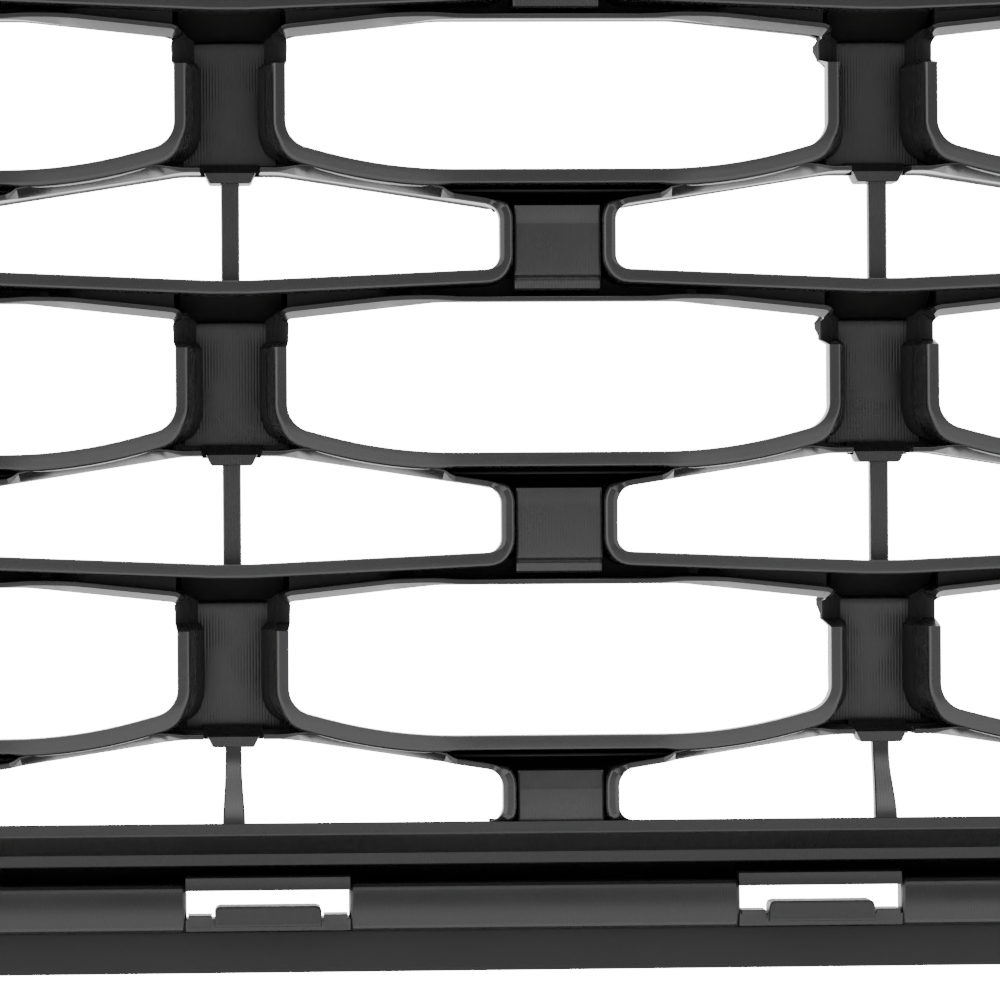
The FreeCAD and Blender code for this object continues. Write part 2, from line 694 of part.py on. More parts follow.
def drilled(moulding):
    """Holes for the screws and studs that hold the other pieces on."""
    tools = []
    pilot = size["screw_radius"] + size["pilot_clearance"]
    clear = size["screw_radius"] + size["hole_clearance"]
    stud = size["stud_radius"] + size["hole_clearance"]
    over = size["overlap"]
    y_low = size["y_show"] - over
    through = size["skin"] + 2 * over
    ahead = Vector(0, 1, 0)
    for x in bracket_screw_places():
        foot = Vector(x, size["y_screw_row"], -size["screw_length"])
        tools.append(Part.makeCylinder(pilot, size["screw_length"] + over, foot))
    for x in trim_screw_places():
        tools.append(Part.makeCylinder(clear, through, Vector(x, y_low, size["z_screw_row"]), ahead))
    for side in (-1, 1):
        for z in stud_heights():
            tools.append(Part.makeCylinder(stud, through, Vector(side * size["x_stud"], y_low, z), ahead))
        for z in end_screw_heights():
            tools.append(Part.makeCylinder(clear, through, Vector(side * size["x_stud"], y_low, z), ahead))
    y_flange = size["y_flange"] - 2 * size["rail_wall"]
    for x in clip_places():
        tools.append(Part.makeCylinder(
            size["clip_hole"], 4 * size["rail_wall"], Vector(x, y_flange, z_clip()), ahead))
    return moulding.cut(Part.makeCompound(tools))


def clip_places():
    return [k * size["slot_pitch"] for k in CLIPS]


def z_clip():
    return size["z_flange"] - size["rail_flange"] + size["clip_reach"] / 2


def grille_insert():
    solids = lattice() + posts() + rail() + top_and_ends()
    moulding = solids[0].multiFuse(solids[1:])
    moulding = drilled(moulding)
    insert = doc.addObject("Part::Feature", "grille_insert")
    insert.Shape = moulding.Solids[0] if len(moulding.Solids) == 1 else moulding
    insert.Placement = FreeCAD.Placement()
    keep(insert, "grille_insert")


# ---- trims -------------------------------------------------------------------------------------

def upper_trim():
    """A bright channel, open to the rear, closed at both ends, with screw bosses inside."""
    body = new_body("upper_trim")
    section = new_sketch(body, "YZ_Plane")
    low = "-upper_trim_below"
    high = "upper_trim_above"
    front = "y_show - trim_depth"
    add_polygon(section, [
        ("y_show", low),
        ("%s + trim_low_in" % front, low),
        (front, "%s + trim_low_up" % low),
        (front, "%s - trim_high_down" % high),
        ("%s + trim_high_in" % front, high),
        ("y_show", high),
    ])
    pad(body, section, "2 * (half_insert + side_trim_overhang)", centred=True)
    hollow = new_sketch(body, "YZ_Plane")
    add_polygon(hollow, [
        ("y_show", "%s + trim_wall" % low),
        ("%s + trim_low_in + trim_wall / 2" % front, "%s + trim_wall" % low),
        ("%s + trim_wall" % front, "%s + trim_low_up + trim_wall / 2" % low),
        ("%s + trim_wall" % front, "%s - trim_high_down - trim_wall / 2" % high),
        ("%s + trim_high_in + trim_wall / 2" % front, "%s - trim_wall" % high),
        ("y_show", "%s - trim_wall" % high),
    ])
    cut = pocket(body, hollow, "2 * (half_insert + side_trim_overhang - trim_wall)")
    cut.SideType = "Symmetric"
    bosses = new_sketch(body, "XZ_Plane", "-y_show")
    for k in range(-SCREWS_EACH_SIDE, SCREWS_EACH_SIDE + 1):
        add_circle(bosses, ("%d * screw_pitch" % k, "z_screw_row"), "boss_radius")
    pad(body, bosses, "trim_depth - trim_wall / 2")
    pilots = new_sketch(body, "XZ_Plane", "-y_show")
    for k in range(-SCREWS_EACH_SIDE, SCREWS_EACH_SIDE + 1):
        add_circle(pilots, ("%d * screw_pitch" % k, "z_screw_row"), "screw_radius + pilot_clearance")
    pocket(body, pilots, "trim_depth - trim_wall", backwards=True)


def side_trim(side, label):
    """A bright channel down one end, with studs and screw bosses that reach the insert."""
    inner = "%d * (half_lattice + side_trim_inset)" % side
    outer = "%d * (half_insert + side_trim_overhang)" % side
    wall = "%d * trim_wall" % side
    front = "y_show - trim_depth"
    low = "z_rail + side_trim_rise"
    high = "-upper_trim_below - trim_gap"
    body = new_body(label)
    section = new_sketch(body, "XY_Plane", low)
    add_polygon(section, [
        (inner, "y_show"),
        (inner, "%s + side_trim_bevel" % front),
        ("%s + 2 * %s" % (inner, wall), front),
        ("%s - 2 * %s" % (outer, wall), front),
        (outer, "%s + side_trim_bevel" % front),
        (outer, "y_show"),
    ])
    pad(body, section, "(%s) - (%s)" % (high, low))
    hollow = new_sketch(body, "XY_Plane", "%s - trim_wall" % high)
    add_polygon(hollow, [
        ("%s + %s" % (inner, wall), "y_show"),
        ("%s + %s" % (inner, wall), "%s + side_trim_bevel + trim_wall / 2" % front),
        ("%s + 2.5 * %s" % (inner, wall), "%s + trim_wall" % front),
        ("%s - 2.5 * %s" % (outer, wall), "%s + trim_wall" % front),
        ("%s - %s" % (outer, wall), "%s + side_trim_bevel + trim_wall / 2" % front),
        ("%s - %s" % (outer, wall), "y_show"),
    ])
    pocket(body, hollow, "(%s) - (%s) - 2 * trim_wall" % (high, low))
    studs = new_sketch(body, "XZ_Plane", "-(y_show + stud_reach)")
    for k in range(STUDS):
        add_circle(studs, ("%d * x_stud" % side, "-stud_first - %d * stud_pitch" % k), "stud_radius")
    pad(body, studs, "trim_depth - trim_wall / 2 + stud_reach")
    bosses = new_sketch(body, "XZ_Plane", "-y_show")
    pilots_at = []
    for k in END_SCREWS:
        height = "-end_bracket_top - end_bracket_height / 2 + %s * fender_hole_pitch" % k
        pilots_at.append(("%d * x_stud" % side, height))
    for spot in pilots_at:
        add_circle(bosses, spot, "boss_radius")
    pad(body, bosses, "trim_depth - trim_wall / 2")
    pilots = new_sketch(body, "XZ_Plane", "-y_show")
    for spot in pilots_at:
        add_circle(pilots, spot, "screw_radius + pilot_clearance")
    pocket(body, pilots, "trim_depth - trim_wall", backwards=True)


# ---- upper bracket and what sits on it -----------------------------------------------------------

def upper_mount_bracket():
    """A ribbed plate on the insert's top shelf; it carries the locating and retainer holes."""
    body = new_body("upper_mount_bracket")
    section = new_sketch(body, "YZ_Plane")
    add_polygon(section, [
        ("y_show", "0"),
        ("bracket_overhang - bracket_wall", "0"),
        ("bracket_overhang - bracket_wall", "-bracket_rib"),
        ("bracket_overhang", "-bracket_rib"),
        ("bracket_overhang", "bracket_wall"),
        ("y_show", "bracket_wall"),
    ])
    pad(body, section, "2 * half_insert", centred=True)
    holes = new_sketch(body, "XY_Plane", "-bracket_wall")
    add_circle(holes, ("0", "0"), "locator_radius")
    for k in RETAINERS:
        add_circle(holes, ("%s * retainer_pitch" % k, "0"), "sleeve_neck_radius + hole_clearance")
    for side in (-1, 1):
        add_circle(holes, ("%d * stop_place" % side, "0"), "stop_radius / 2")
    for k in range(-SCREWS_EACH_SIDE, SCREWS_EACH_SIDE):
        add_circle(holes, ("%s * screw_pitch" % (k + 0.5), "y_screw_row"), "screw_radius + hole_clearance")
    pocket(body, holes, "3 * bracket_wall", backwards=True)


def bracket_screws():
    screws = []
    for k in range(-SCREWS_EACH_SIDE, SCREWS_EACH_SIDE):
        spot = ("%s * screw_pitch" % (k + 0.5), "y_screw_row")
        head = cylinder("Z", (spot[0], spot[1], "bracket_wall"), "screw_head_radius", "screw_head")
        shank = cylinder("Z", (spot[0], spot[1], "bracket_wall - screw_length"), "screw_radius", "screw_length")
        screws.append(joined([head, shank]))
    group(screws, "bracket_screws")


def screws_from_behind(label, places, y_seat):
    """Screws whose heads seat at y_seat and whose shanks point to the show side."""
    screws = []
    for x, z in places:
        head = cylinder("Y", (x, y_seat, z), "screw_head_radius", "screw_head")
        shank = cylinder("Y", (x, "%s - screw_length" % y_seat, z), "screw_radius", "screw_length")
        screws.append(joined([head, shank]))
    group(screws, label)


def retainer_sleeves():
    sleeves = []
    for k in RETAINERS:
        x = "%s * retainer_pitch" % k
        flange = cylinder("Z", (x, "0", "bracket_wall"), "sleeve_flange_radius", "sleeve_flange")
        neck = cylinder("Z", (x, "0", "-sleeve_reach"), "sleeve_neck_radius", "sleeve_reach + bracket_wall")
        shank = cylinder("Z", (x, "0", "-sleeve_reach"), "sleeve_radius", "sleeve_reach - sleeve_snap")
        bore = cylinder(
            "Z", (x, "0", "-sleeve_reach - overlap"), "pin_radius + pin_clearance",
            "sleeve_reach + bracket_wall + sleeve_flange + 2 * overlap")
        sleeves.append(without(joined([flange, neck, shank]), [bore]))
    group(sleeves, "retainer_sleeves")


def retainer_pin(number, k):
    """The centre pin of one retainer; pushed in at rest, it lifts to let the sleeve go."""
    body = new_body("retainer_pin_%d" % number)
    seat = "bracket_wall + sleeve_flange"
    turned(body, [
        ("0", "-sleeve_reach + pin_short"),
        ("pin_radius * 0.6", "-sleeve_reach + pin_short"),
        ("pin_radius", "-sleeve_reach + pin_short + pin_point"),
        ("pin_radius", seat),
        ("pin_head_radius", seat),
        ("pin_head_radius", "%s + pin_head * 0.6" % seat),
        ("pin_head_radius * 0.8", "%s + pin_head" % seat),
        ("0", "%s + pin_head" % seat),
    ])
    bind(body, Placement__Base__x="%s * retainer_pitch" % k)


def bump_stop(side, label):
    """A rubber buffer whose stem is pulled through the bracket and swells under it."""
    body = new_body(label)
    stem = "stop_radius / 2"
    turned(body, [
        ("0", "-stop_stem"),
        ("%s * 0.6" % stem, "-stop_stem"),
        ("%s + stop_barb" % stem, "-stop_barb"),
        ("%s + stop_barb" % stem, "0"),
        (stem, "0"),
        (stem, "bracket_wall"),
        ("stop_radius", "bracket_wall"),
        ("stop_radius", "bracket_wall + stop_height * 0.5"),
        ("stop_radius * 0.85", "bracket_wall + stop_height * 0.85"),
        ("stop_radius * 0.5", "bracket_wall + stop_height"),
        ("0", "bracket_wall + stop_height"),
    ])
    bind(body, Placement__Base__x="%d * stop_place" % side)


def top_seal():
    """A foam strip with a crowned top that the bonnet's edge lies on."""
    body = new_body("top_seal")
    section = new_sketch(body, "YZ_Plane")
    back = "-seal_back"
    add_polygon(section, [
        (back, "bracket_wall"),
        (back, "bracket_wall + seal_height * 0.6"),
        ("%s - seal_width * 0.2" % back, "bracket_wall + seal_height * 0.9"),
        ("%s - seal_width * 0.5" % back, "bracket_wall + seal_height"),
        ("%s - seal_width * 0.8" % back, "bracket_wall + seal_height * 0.9"),
        ("%s - seal_width" % back, "bracket_wall + seal_height * 0.6"),
        ("%s - seal_width" % back, "bracket_wall"),
    ])
    pad(body, section, "2 * half_lattice", centred=True)


# ---- ends --------------------------------------------------------------------------------------

def end_bracket(side, label):
    """A folded steel bracket: foot on the flange, web to the rear, tab for the fender bolts."""
    outer = "%d * half_insert" % side
    body = new_body(label)
    section = new_sketch(body, "XY_Plane", "-end_bracket_top - end_bracket_height")
    step = "%d * end_bracket_wall" % side
    rear = "y_skin + end_bracket_web"
    add_polygon(section, [
        ("%s - %d * end_bracket_foot" % (outer, side), "y_skin"),
        (outer, "y_skin"),
        (outer, "%s - end_bracket_wall" % rear),
        ("%s - %s + %d * end_bracket_tab" % (outer, step, side), "%s - end_bracket_wall" % rear),
        ("%s - %s + %d * end_bracket_tab" % (outer, step, side), rear),
        ("%s - %s" % (outer, step), rear),
        ("%s - %s" % (outer, step), "y_skin + end_bracket_wall"),
        ("%s - %d * end_bracket_foot" % (outer, side), "y_skin + end_bracket_wall"),
    ])
    pad(body, section, "end_bracket_height")
    holes = new_sketch(body, "XZ_Plane", "-(%s + overlap)" % rear)
    seats = new_sketch(body, "XZ_Plane", "-(y_skin + end_bracket_wall + overlap)")
    for k in END_SCREWS:
        height = "-end_bracket_top - end_bracket_height / 2 + %s * fender_hole_pitch" % k
        middle = "%s - %s + %d * (end_bracket_tab + end_bracket_wall) / 2" % (outer, step, side)
        add_circle(holes, (middle, height), "fender_hole_radius")
        add_circle(seats, ("%d * x_stud" % side, height), "screw_radius + hole_clearance")
    pocket(body, holes, "end_bracket_wall + 2 * overlap", backwards=True)
    pocket(body, seats, "end_bracket_wall + 2 * overlap", backwards=True)


def push_nuts():
    """Domed steel nuts pressed on to the side trims' studs."""
    nuts = []
    for side in (-1, 1):
        for k in range(STUDS):
            x = "%d * x_stud" % side
            z = "-stud_first - %d * stud_pitch" % k
            dome = doc.addObject("Part::Cone", "dome")
            dome.Placement = FreeCAD.Placement(Vector(), TURNS["Y"])
            bind(dome, Radius1="nut_radius", Radius2="stud_radius + nut_sheet", Height="nut_height")
            bind(dome, Placement__Base__x=x, Placement__Base__y="y_skin", Placement__Base__z=z)
            hollow = doc.addObject("Part::Cone", "hollow")
            hollow.Placement = FreeCAD.Placement(Vector(), TURNS["Y"])
            bind(hollow, Radius1="nut_radius - nut_sheet", Radius2="stud_radius", Height="nut_height - nut_sheet")
            bind(hollow, Placement__Base__x=x, Placement__Base__y="y_skin", Placement__Base__z=z)
            bore = cylinder("Y", (x, "y_skin - overlap", z), "stud_radius", "nut_height + 2 * overlap")
            nuts.append(without(dome, [hollow, bore]))
    group(nuts, "push_nuts")


def air_baffle(side, label):
    """A rubber flap that closes the gap between the grille's end and the cooler."""
    body = new_body(label)
    section = new_sketch(body, "XY_Plane", "z_rail + baffle_rise")
    near = "%d * (half_lattice + end_wall / 2 + baffle_gap)" % side
    add_polygon(section, [
        (near, "y_skin"),
        ("%s + %d * baffle_foot" % (near, side), "y_skin"),
        ("%s + %d * baffle_foot" % (near, side), "y_skin + baffle_wall"),
        ("%s + %d * baffle_wall" % (near, side), "y_skin + baffle_wall"),
        ("%s + %d * baffle_wall" % (near, side), "y_skin + baffle_reach * 0.6"),
        ("%s + %d * (baffle_wall - baffle_lean)" % (near, side), "y_skin + baffle_reach"),
        ("%s - %d * baffle_lean" % (near, side), "y_skin + baffle_reach"),
        (near, "y_skin + baffle_reach * 0.6"),
    ])
    pad(body, section, "-baffle_top - (z_rail + baffle_rise)")


# ---- lower rail hardware -------------------------------------------------------------------------

def locating_grommets():
    rings = []
    y_panel = "y_lip - rail_panel_depth + panel_crown"
    for side in (-1, 1):
        spot = ("%d * (half_insert - end_flange / 2)" % side, y_panel, "z_panel - rail_panel / 2")
        ring = cylinder("Y", spot, "grommet_radius", "grommet_length")
        hole = cylinder(
            "Y", (spot[0], "%s - overlap" % y_panel, spot[2]), "locator_radius + locator_shoulder",
            "grommet_length + 2 * overlap")
        rings.append(without(ring, [hole]))
    group(rings, "locating_grommets")


def lower_clip_nuts():
    """Spring steel nuts folded over the flange's lower edge, with a bore for a screw."""
    nuts = []
    floor = "z_flange - rail_flange"
    front = "y_flange - rail_wall"
    for k in CLIPS:
        x = "%s * slot_pitch" % k
        low = ("%s - clip_width / 2" % x, "%s - clip_sheet" % front, "%s - clip_sheet" % floor)
        high = ("%s + clip_width / 2" % x, "y_flange + clip_sheet", "%s + clip_reach" % floor)
        shell = box(low, high)
        gap = box(
            ("%s - clip_width" % x, front, floor),
            ("%s + clip_width" % x, "y_flange", "%s + 2 * clip_reach" % floor))
        spot = (x, "%s - 2 * clip_sheet" % front, "%s + clip_reach / 2" % floor)
        bore = cylinder("Y", spot, "clip_bore", "rail_wall + 9 * clip_sheet")
        collar = cylinder("Y", (x, "y_flange + clip_sheet / 2", spot[2]), "clip_bore + clip_sheet", "clip_sheet * 2")
        nuts.append(without(joined([without(shell, [gap]), collar]), [bore]))
    group(nuts, "lower_clip_nuts")


# ---- build ---------------------------------------------------------------------------------------

grille_insert()
upper_trim()
side_trim(1, "left_side_trim")
side_trim(-1, "right_side_trim")
upper_mount_bracket()
bracket_screws()
trim_places = [
    ("%d * screw_pitch" % k, "z_screw_row") for k in range(-SCREWS_EACH_SIDE, SCREWS_EACH_SIDE + 1)]
screws_from_behind("trim_screws", trim_places, "y_skin")
end_places = []
for side in (-1, 1):
    for k in END_SCREWS:
        height = "-end_bracket_top - end_bracket_height / 2 + %s * fender_hole_pitch" % k
        end_places.append(("%d * x_stud" % side, height))
screws_from_behind("end_bracket_screws", end_places, "y_skin + end_bracket_wall")
retainer_sleeves()
for number, k in enumerate(RETAINERS, start=1):
    retainer_pin(number, k)
bump_stop(1, "left_bump_stop")
bump_stop(-1, "right_bump_stop")
top_seal()
end_bracket(1, "left_end_bracket")
end_bracket(-1, "right_end_bracket")
push_nuts()
air_baffle(1, "left_air_baffle")
air_baffle(-1, "right_air_baffle")
locating_grommets()
lower_clip_nuts()
doc.recompute()

for thing in doc.Objects:
    if "Invalid" in thing.State or "Error" in thing.State:
        raise RuntimeError("%s failed: %s" % (thing.Name, thing.State))

os.makedirs("parts", exist_ok=True)
for thing in sub_parts:
    shape = thing.Shape
    if shape.isNull() or not shape.isValid() or not shape.Solids:
        raise RuntimeError(thing.Label + " has no valid solid")
    shape.exportStep("parts/%s.step" % thing.Label)
    box_of = shape.BoundBox
    print("%-22s %3d solids %11.1f mm3  x %.1f..%.1f  y %.1f..%.1f  z %.1f..%.1f" % (
        thing.Label, len(shape.Solids), shape.Volume,
        box_of.XMin, box_of.XMax, box_of.YMin, box_of.YMax, box_of.ZMin, box_of.ZMax))
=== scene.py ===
import bpy
import json
import math
import numpy as np
from mathutils import Matrix, Vector


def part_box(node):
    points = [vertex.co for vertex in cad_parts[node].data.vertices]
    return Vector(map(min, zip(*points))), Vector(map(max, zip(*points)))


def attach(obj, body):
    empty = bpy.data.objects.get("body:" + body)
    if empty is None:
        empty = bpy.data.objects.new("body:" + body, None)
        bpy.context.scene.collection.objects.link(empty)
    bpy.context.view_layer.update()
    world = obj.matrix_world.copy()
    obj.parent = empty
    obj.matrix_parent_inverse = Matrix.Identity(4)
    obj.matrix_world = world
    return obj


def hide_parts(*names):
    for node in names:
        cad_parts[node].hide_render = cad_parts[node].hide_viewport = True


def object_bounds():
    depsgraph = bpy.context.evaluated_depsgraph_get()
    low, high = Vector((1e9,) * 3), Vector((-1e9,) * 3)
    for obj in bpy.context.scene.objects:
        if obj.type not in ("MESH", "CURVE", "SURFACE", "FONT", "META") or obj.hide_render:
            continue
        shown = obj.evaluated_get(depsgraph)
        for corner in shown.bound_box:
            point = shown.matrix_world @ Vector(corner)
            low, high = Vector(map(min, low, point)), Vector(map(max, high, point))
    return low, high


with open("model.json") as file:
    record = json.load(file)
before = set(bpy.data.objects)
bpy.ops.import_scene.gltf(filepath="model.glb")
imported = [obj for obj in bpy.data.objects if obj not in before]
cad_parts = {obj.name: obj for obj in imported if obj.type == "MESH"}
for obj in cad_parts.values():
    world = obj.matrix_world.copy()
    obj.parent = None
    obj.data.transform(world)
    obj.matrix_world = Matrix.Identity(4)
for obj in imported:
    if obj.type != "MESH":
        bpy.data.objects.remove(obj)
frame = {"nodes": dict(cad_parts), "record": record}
cad_low, cad_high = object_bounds()

# Millimetres are used for the moulding and turned into metres when a mesh is made.
MM = 0.001
insert_low, insert_high = [np.array(corner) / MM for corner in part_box("grille_insert")]
Z_TOP = insert_high[2]
Z_BOTTOM = insert_low[2]
Y_SHOW = insert_low[1]
DEPTH = 23.0
Y_LIP = Y_SHOW + DEPTH
HALF_INSERT = insert_high[0]
END_FLANGE = 30.0
HALF_LATTICE = HALF_INSERT - END_FLANGE
END_WALL = 3.0

PITCH_X = 119.0
PITCH_Z = 51.5
CELLS = 9
ROWS = 5
POST, SMALL_POST = 20.2, 21.2
HALF_OPEN = (PITCH_X - POST) / 2
SMALL_HALF_OPEN = (PITCH_X - SMALL_POST) / 2
TOP_RAIL = 24.0
LARGE_HEIGHT = 27.4
LARGE_TOP_FLAT, LARGE_TOP_SLOPE = 22.0, 0.108
LARGE_BOTTOM_FLAT, LARGE_BOTTOM_SLOPE = 30.8, 0.272
BAR_ABOVE_SMALL = 0.4
BAR_BELOW_SMALL = 4.0
SMALL_HEIGHT = PITCH_Z - LARGE_HEIGHT - BAR_ABOVE_SMALL - BAR_BELOW_SMALL
LAST_SMALL_HEIGHT, LIP_RISE = 15.2, 1.5
SMALL_TOP_FLAT, SMALL_TOP_SLOPE, SMALL_BOTTOM_SLOPE = 9.0, 0.156, 0.04
SMALL_TOP = -LARGE_HEIGHT - BAR_ABOVE_SMALL
FLOOR_DEPTH, TIE_DEPTH = 16.5, 8.5
HOLLOW_ROW = 1
Z_RAIL = Z_TOP - TOP_RAIL - (ROWS - 1) * PITCH_Z + SMALL_TOP - (LAST_SMALL_HEIGHT + LIP_RISE)
SLOT_PITCH, SLOTS_EACH_SIDE = 101.2, 5


# ---- meshes ----------------------------------------------------------------

class Shell:
    """Collects closed surfaces into one mesh; each is turned so that its faces look outward."""

    def __init__(self):
        self.points, self.polys, self.count = [], [], 0

    def add(self, points, polys):
        """Adds one closed surface, turned over when the volume its faces enclose is negative."""
        points = np.asarray(points, float).reshape(-1, 3)
        volume = 0.0
        for p in polys:
            a = points[p[:, 0]]
            for i in range(1, p.shape[1] - 1):
                volume += np.einsum("ij,ij->", a, np.cross(points[p[:, i]], points[p[:, i + 1]]))
        if volume < 0:
            polys = [p[:, ::-1] for p in polys]
        self.points.append(points)
        self.polys += [p + self.count for p in polys]
        self.count += len(points)

    def merge(self, other, shift=(0, 0, 0)):
        """Adds a copy of another collection, moved by shift in millimetres."""
        for points in other.points:
            self.points.append(points + np.asarray(shift, float))
        self.polys += [p + self.count for p in other.polys]
        self.count += other.count

    def make(self, name, material, crease=14.5):
        """Makes the mesh object; edges sharper than crease degrees stay sharp."""
        points = np.concatenate(self.points) * MM
        mesh = bpy.data.meshes.new(name)
        sizes = np.concatenate([np.full(len(p), p.shape[1]) for p in self.polys])
        corners = np.concatenate([p.ravel() for p in self.polys])
        mesh.vertices.add(len(points))
        mesh.vertices.foreach_set("co", points.astype(np.float32).ravel())
        mesh.loops.add(len(corners))
        mesh.loops.foreach_set("vertex_index", corners.astype(np.int32))
        mesh.polygons.add(len(sizes))
        starts = np.concatenate([[0], np.cumsum(sizes)[:-1]])
        mesh.polygons.foreach_set("loop_start", starts.astype(np.int32))
        mesh.update(calc_edges=True)
        mesh.validate()
        mesh.polygons.foreach_set("use_smooth", np.ones(len(mesh.polygons), bool))
        mesh.set_sharp_from_angle(angle=math.radians(crease))
        thing = bpy.data.objects.new(name, mesh)
        bpy.context.scene.collection.objects.link(thing)
        mesh.materials.append(material)
        return thing


def quads(index, wrap_u, wrap_v):
    """Quads of a grid of vertex numbers, closed or open in each direction."""
    rows = index if not wrap_u else np.vstack([index, index[:1]])
    rows = rows if not wrap_v else np.hstack([rows, rows[:, :1]])
    parts = [rows[:-1, :-1], rows[1:, :-1], rows[1:, 1:], rows[:-1, 1:]]
    return np.stack([part.ravel() for part in parts], 1)


def torus(shell, grid):
    """A surface closed in both directions: a closed section carried round a closed path."""
    index = np.arange(grid.shape[0] * grid.shape[1]).reshape(grid.shape[:2])
    shell.add(grid, [quads(index, True, True)])


def tube(shell, grid):
    """A closed section carried along an open path (first direction), capped at both ends."""
    index = np.arange(grid.shape[0] * grid.shape[1]).reshape(grid.shape[:2])
    shell.add(grid, [quads(index, False, True), index[:1, ::-1], index[-1:, :]])


def slab(shell, face, back):
    """The solid between two grids of the same size."""
    n = face.shape[0] * face.shape[1]
    a = np.arange(n).reshape(face.shape[:2])
    b = a + n
    rims = [np.stack([a[0], b[0]]), np.stack([b[-1], a[-1]]),
            np.stack([b[:, 0], a[:, 0]]), np.stack([a[:, -1], b[:, -1]])]
    polys = [quads(a, False, False), quads(b, False, False)[:, ::-1]]
    polys += [quads(rim, False, False)[:, ::-1] for rim in rims]
    shell.add(np.concatenate([face.reshape(-1, 3), back.reshape(-1, 3)]), polys)


def block(shell, low, high, bevel=0.3):
    """A box whose section is a bevelled rectangle in X and Z, carried along Y, its ends drawn in."""
    (x0, y0, z0), (x1, y1, z1) = low, high
    b = min(bevel, (x1 - x0) / 3, (z1 - z0) / 3, (y1 - y0) / 3)
    rings = []
    for y, inset in ((y0, b), (y0 + b, 0), (y1 - b, 0), (y1 - 0.3 * b, 0.3 * b), (y1, b)):
        cut = b * 0.5
        a0, a1, c0, c1 = x0 + inset, x1 - inset, z0 + inset, z1 - inset
        ring = [(a0 + cut, c0), (a1 - cut, c0), (a1, c0 + cut), (a1, c1 - cut),
                (a1 - cut, c1), (a0 + cut, c1), (a0, c1 - cut), (a0, c0 + cut)]
        rings.append([(x, y, z) for x, z in ring])
    tube(shell, np.array(rings, float))


def rod(shell, foot, axis, profile, sides=32):
    """A profile of (radius, distance) pairs turned about an axis through foot."""
    turn = np.linspace(0, 2 * math.pi, sides, endpoint=False)
    radius = np.array([p[0] for p in profile])[:, None]
    along = np.array([p[1] for p in profile])[:, None]
    ring = [radius * np.cos(turn), radius * np.sin(turn), along + 0 * turn]
    order = {"Z": (0, 1, 2), "Y": (0, 2, 1), "X": (2, 0, 1)}[axis]
    grid = np.stack([ring[i] for i in order], 2) + np.asarray(foot, float)
    tube(shell, grid)


def step(value, low, high):
    """A smooth rise from 0 at low to 1 at high: three times the share squared, less twice its cube."""
    t = np.clip((value - low) / (high - low), 0, 1)
    return t * t * (3 - 2 * t)


# ---- outlines of the openings ----------------------------------------------

def outline(corners, pieces):
    """A closed path through (x, z, radius, arc points) corners with tangent arcs.
    pieces gives, for each straight run after a corner, how many points stand on it."""
    count = len(corners)
    runs = []
    for i in range(count):
        x, z, radius, arc = corners[i]
        here = np.array([x, z])
        back = np.array(corners[i - 1][:2]) - here
        ahead = np.array(corners[(i + 1) % count][:2]) - here
        back, ahead = back / np.linalg.norm(back), ahead / np.linalg.norm(ahead)
        half = math.acos(max(-1.0, min(1.0, float(back @ ahead)))) / 2
        turn = math.pi / 2 - half
        if turn < 0.002:
            runs.append(here[None, :])
            continue
        reach = radius * math.tan(turn)
        middle = (back + ahead) / np.linalg.norm(back + ahead)
        centre = here + middle * radius / math.cos(turn)
        start, end = here + back * reach - centre, here + ahead * reach - centre
        first = math.atan2(start[1], start[0])
        sweep = math.atan2(start[0] * end[1] - start[1] * end[0], start @ end)
        angle = first + sweep * np.linspace(0, 1, arc)
        runs.append(centre + radius * np.stack([np.cos(angle), np.sin(angle)], 1))
    path = []
    for i in range(count):
        path.append(runs[i])
        start, end = runs[i][-1], runs[(i + 1) % count][0]
        share = pieces[i]
        share = np.linspace(0, 1, share + 2)[1:-1] if np.isscalar(share) else np.array(share)
        path.append(start + (end - start) * share[:, None])
    return np.concatenate(path)


def outward(path):
    """Unit normals of a clockwise closed path, pointing away from its inside."""
    run = np.roll(path, -1, 0) - np.roll(path, 1, 0)
    run /= np.linalg.norm(run, axis=1)[:, None]
    return np.stack([-run[:, 1], run[:, 0]], 1)


def large_outline():
    """A large opening about its middle, its top edge's level part at height 0."""
    shoulder = -(HALF_OPEN - LARGE_TOP_FLAT) * LARGE_TOP_SLOPE
    hip = -LARGE_HEIGHT + (HALF_OPEN - LARGE_BOTTOM_FLAT) * LARGE_BOTTOM_SLOPE
    right = [(LARGE_TOP_FLAT, 0.0, 30.0, 7), (HALF_OPEN, shoulder, 1.0, 7),
             (HALF_OPEN, hip, 5.0, 13), (LARGE_BOTTOM_FLAT, -LARGE_HEIGHT, 90.0, 9)]
    left = [(-x, z, r, n) for x, z, r, n in reversed(right)]
    side = [0.04, 0.12, 0.185, 0.2, 0.29, 0.3, 0.32, 0.4, 0.55, 0.7, 0.85]
    turned = [1 - s for s in reversed(side)]
    fall = [0.04, 0.1, 0.18, 0.28, 0.4, 0.55, 0.7, 0.85]
    climb = [1 - f for f in reversed(fall)]
    top = [0.05, 0.12, 0.25, 0.5, 0.75, 0.88, 0.95]
    return outline(right + left, [fall, side, 5, 9, 5, turned, climb, top])


def small_corners(height, rise, x_flat=SMALL_TOP_FLAT):
    """The right half's (x, z, radius, arc points) corners of a small opening."""
    shoulder = -(SMALL_HALF_OPEN - SMALL_TOP_FLAT) * SMALL_TOP_SLOPE
    return [(x_flat, 0.0, 20.0, 5), (SMALL_HALF_OPEN, shoulder, 3.2, 11),
            (SMALL_HALF_OPEN, -height + SMALL_HALF_OPEN * rise, 2.6, 9), (3.4, -height, 0.5, 3)]


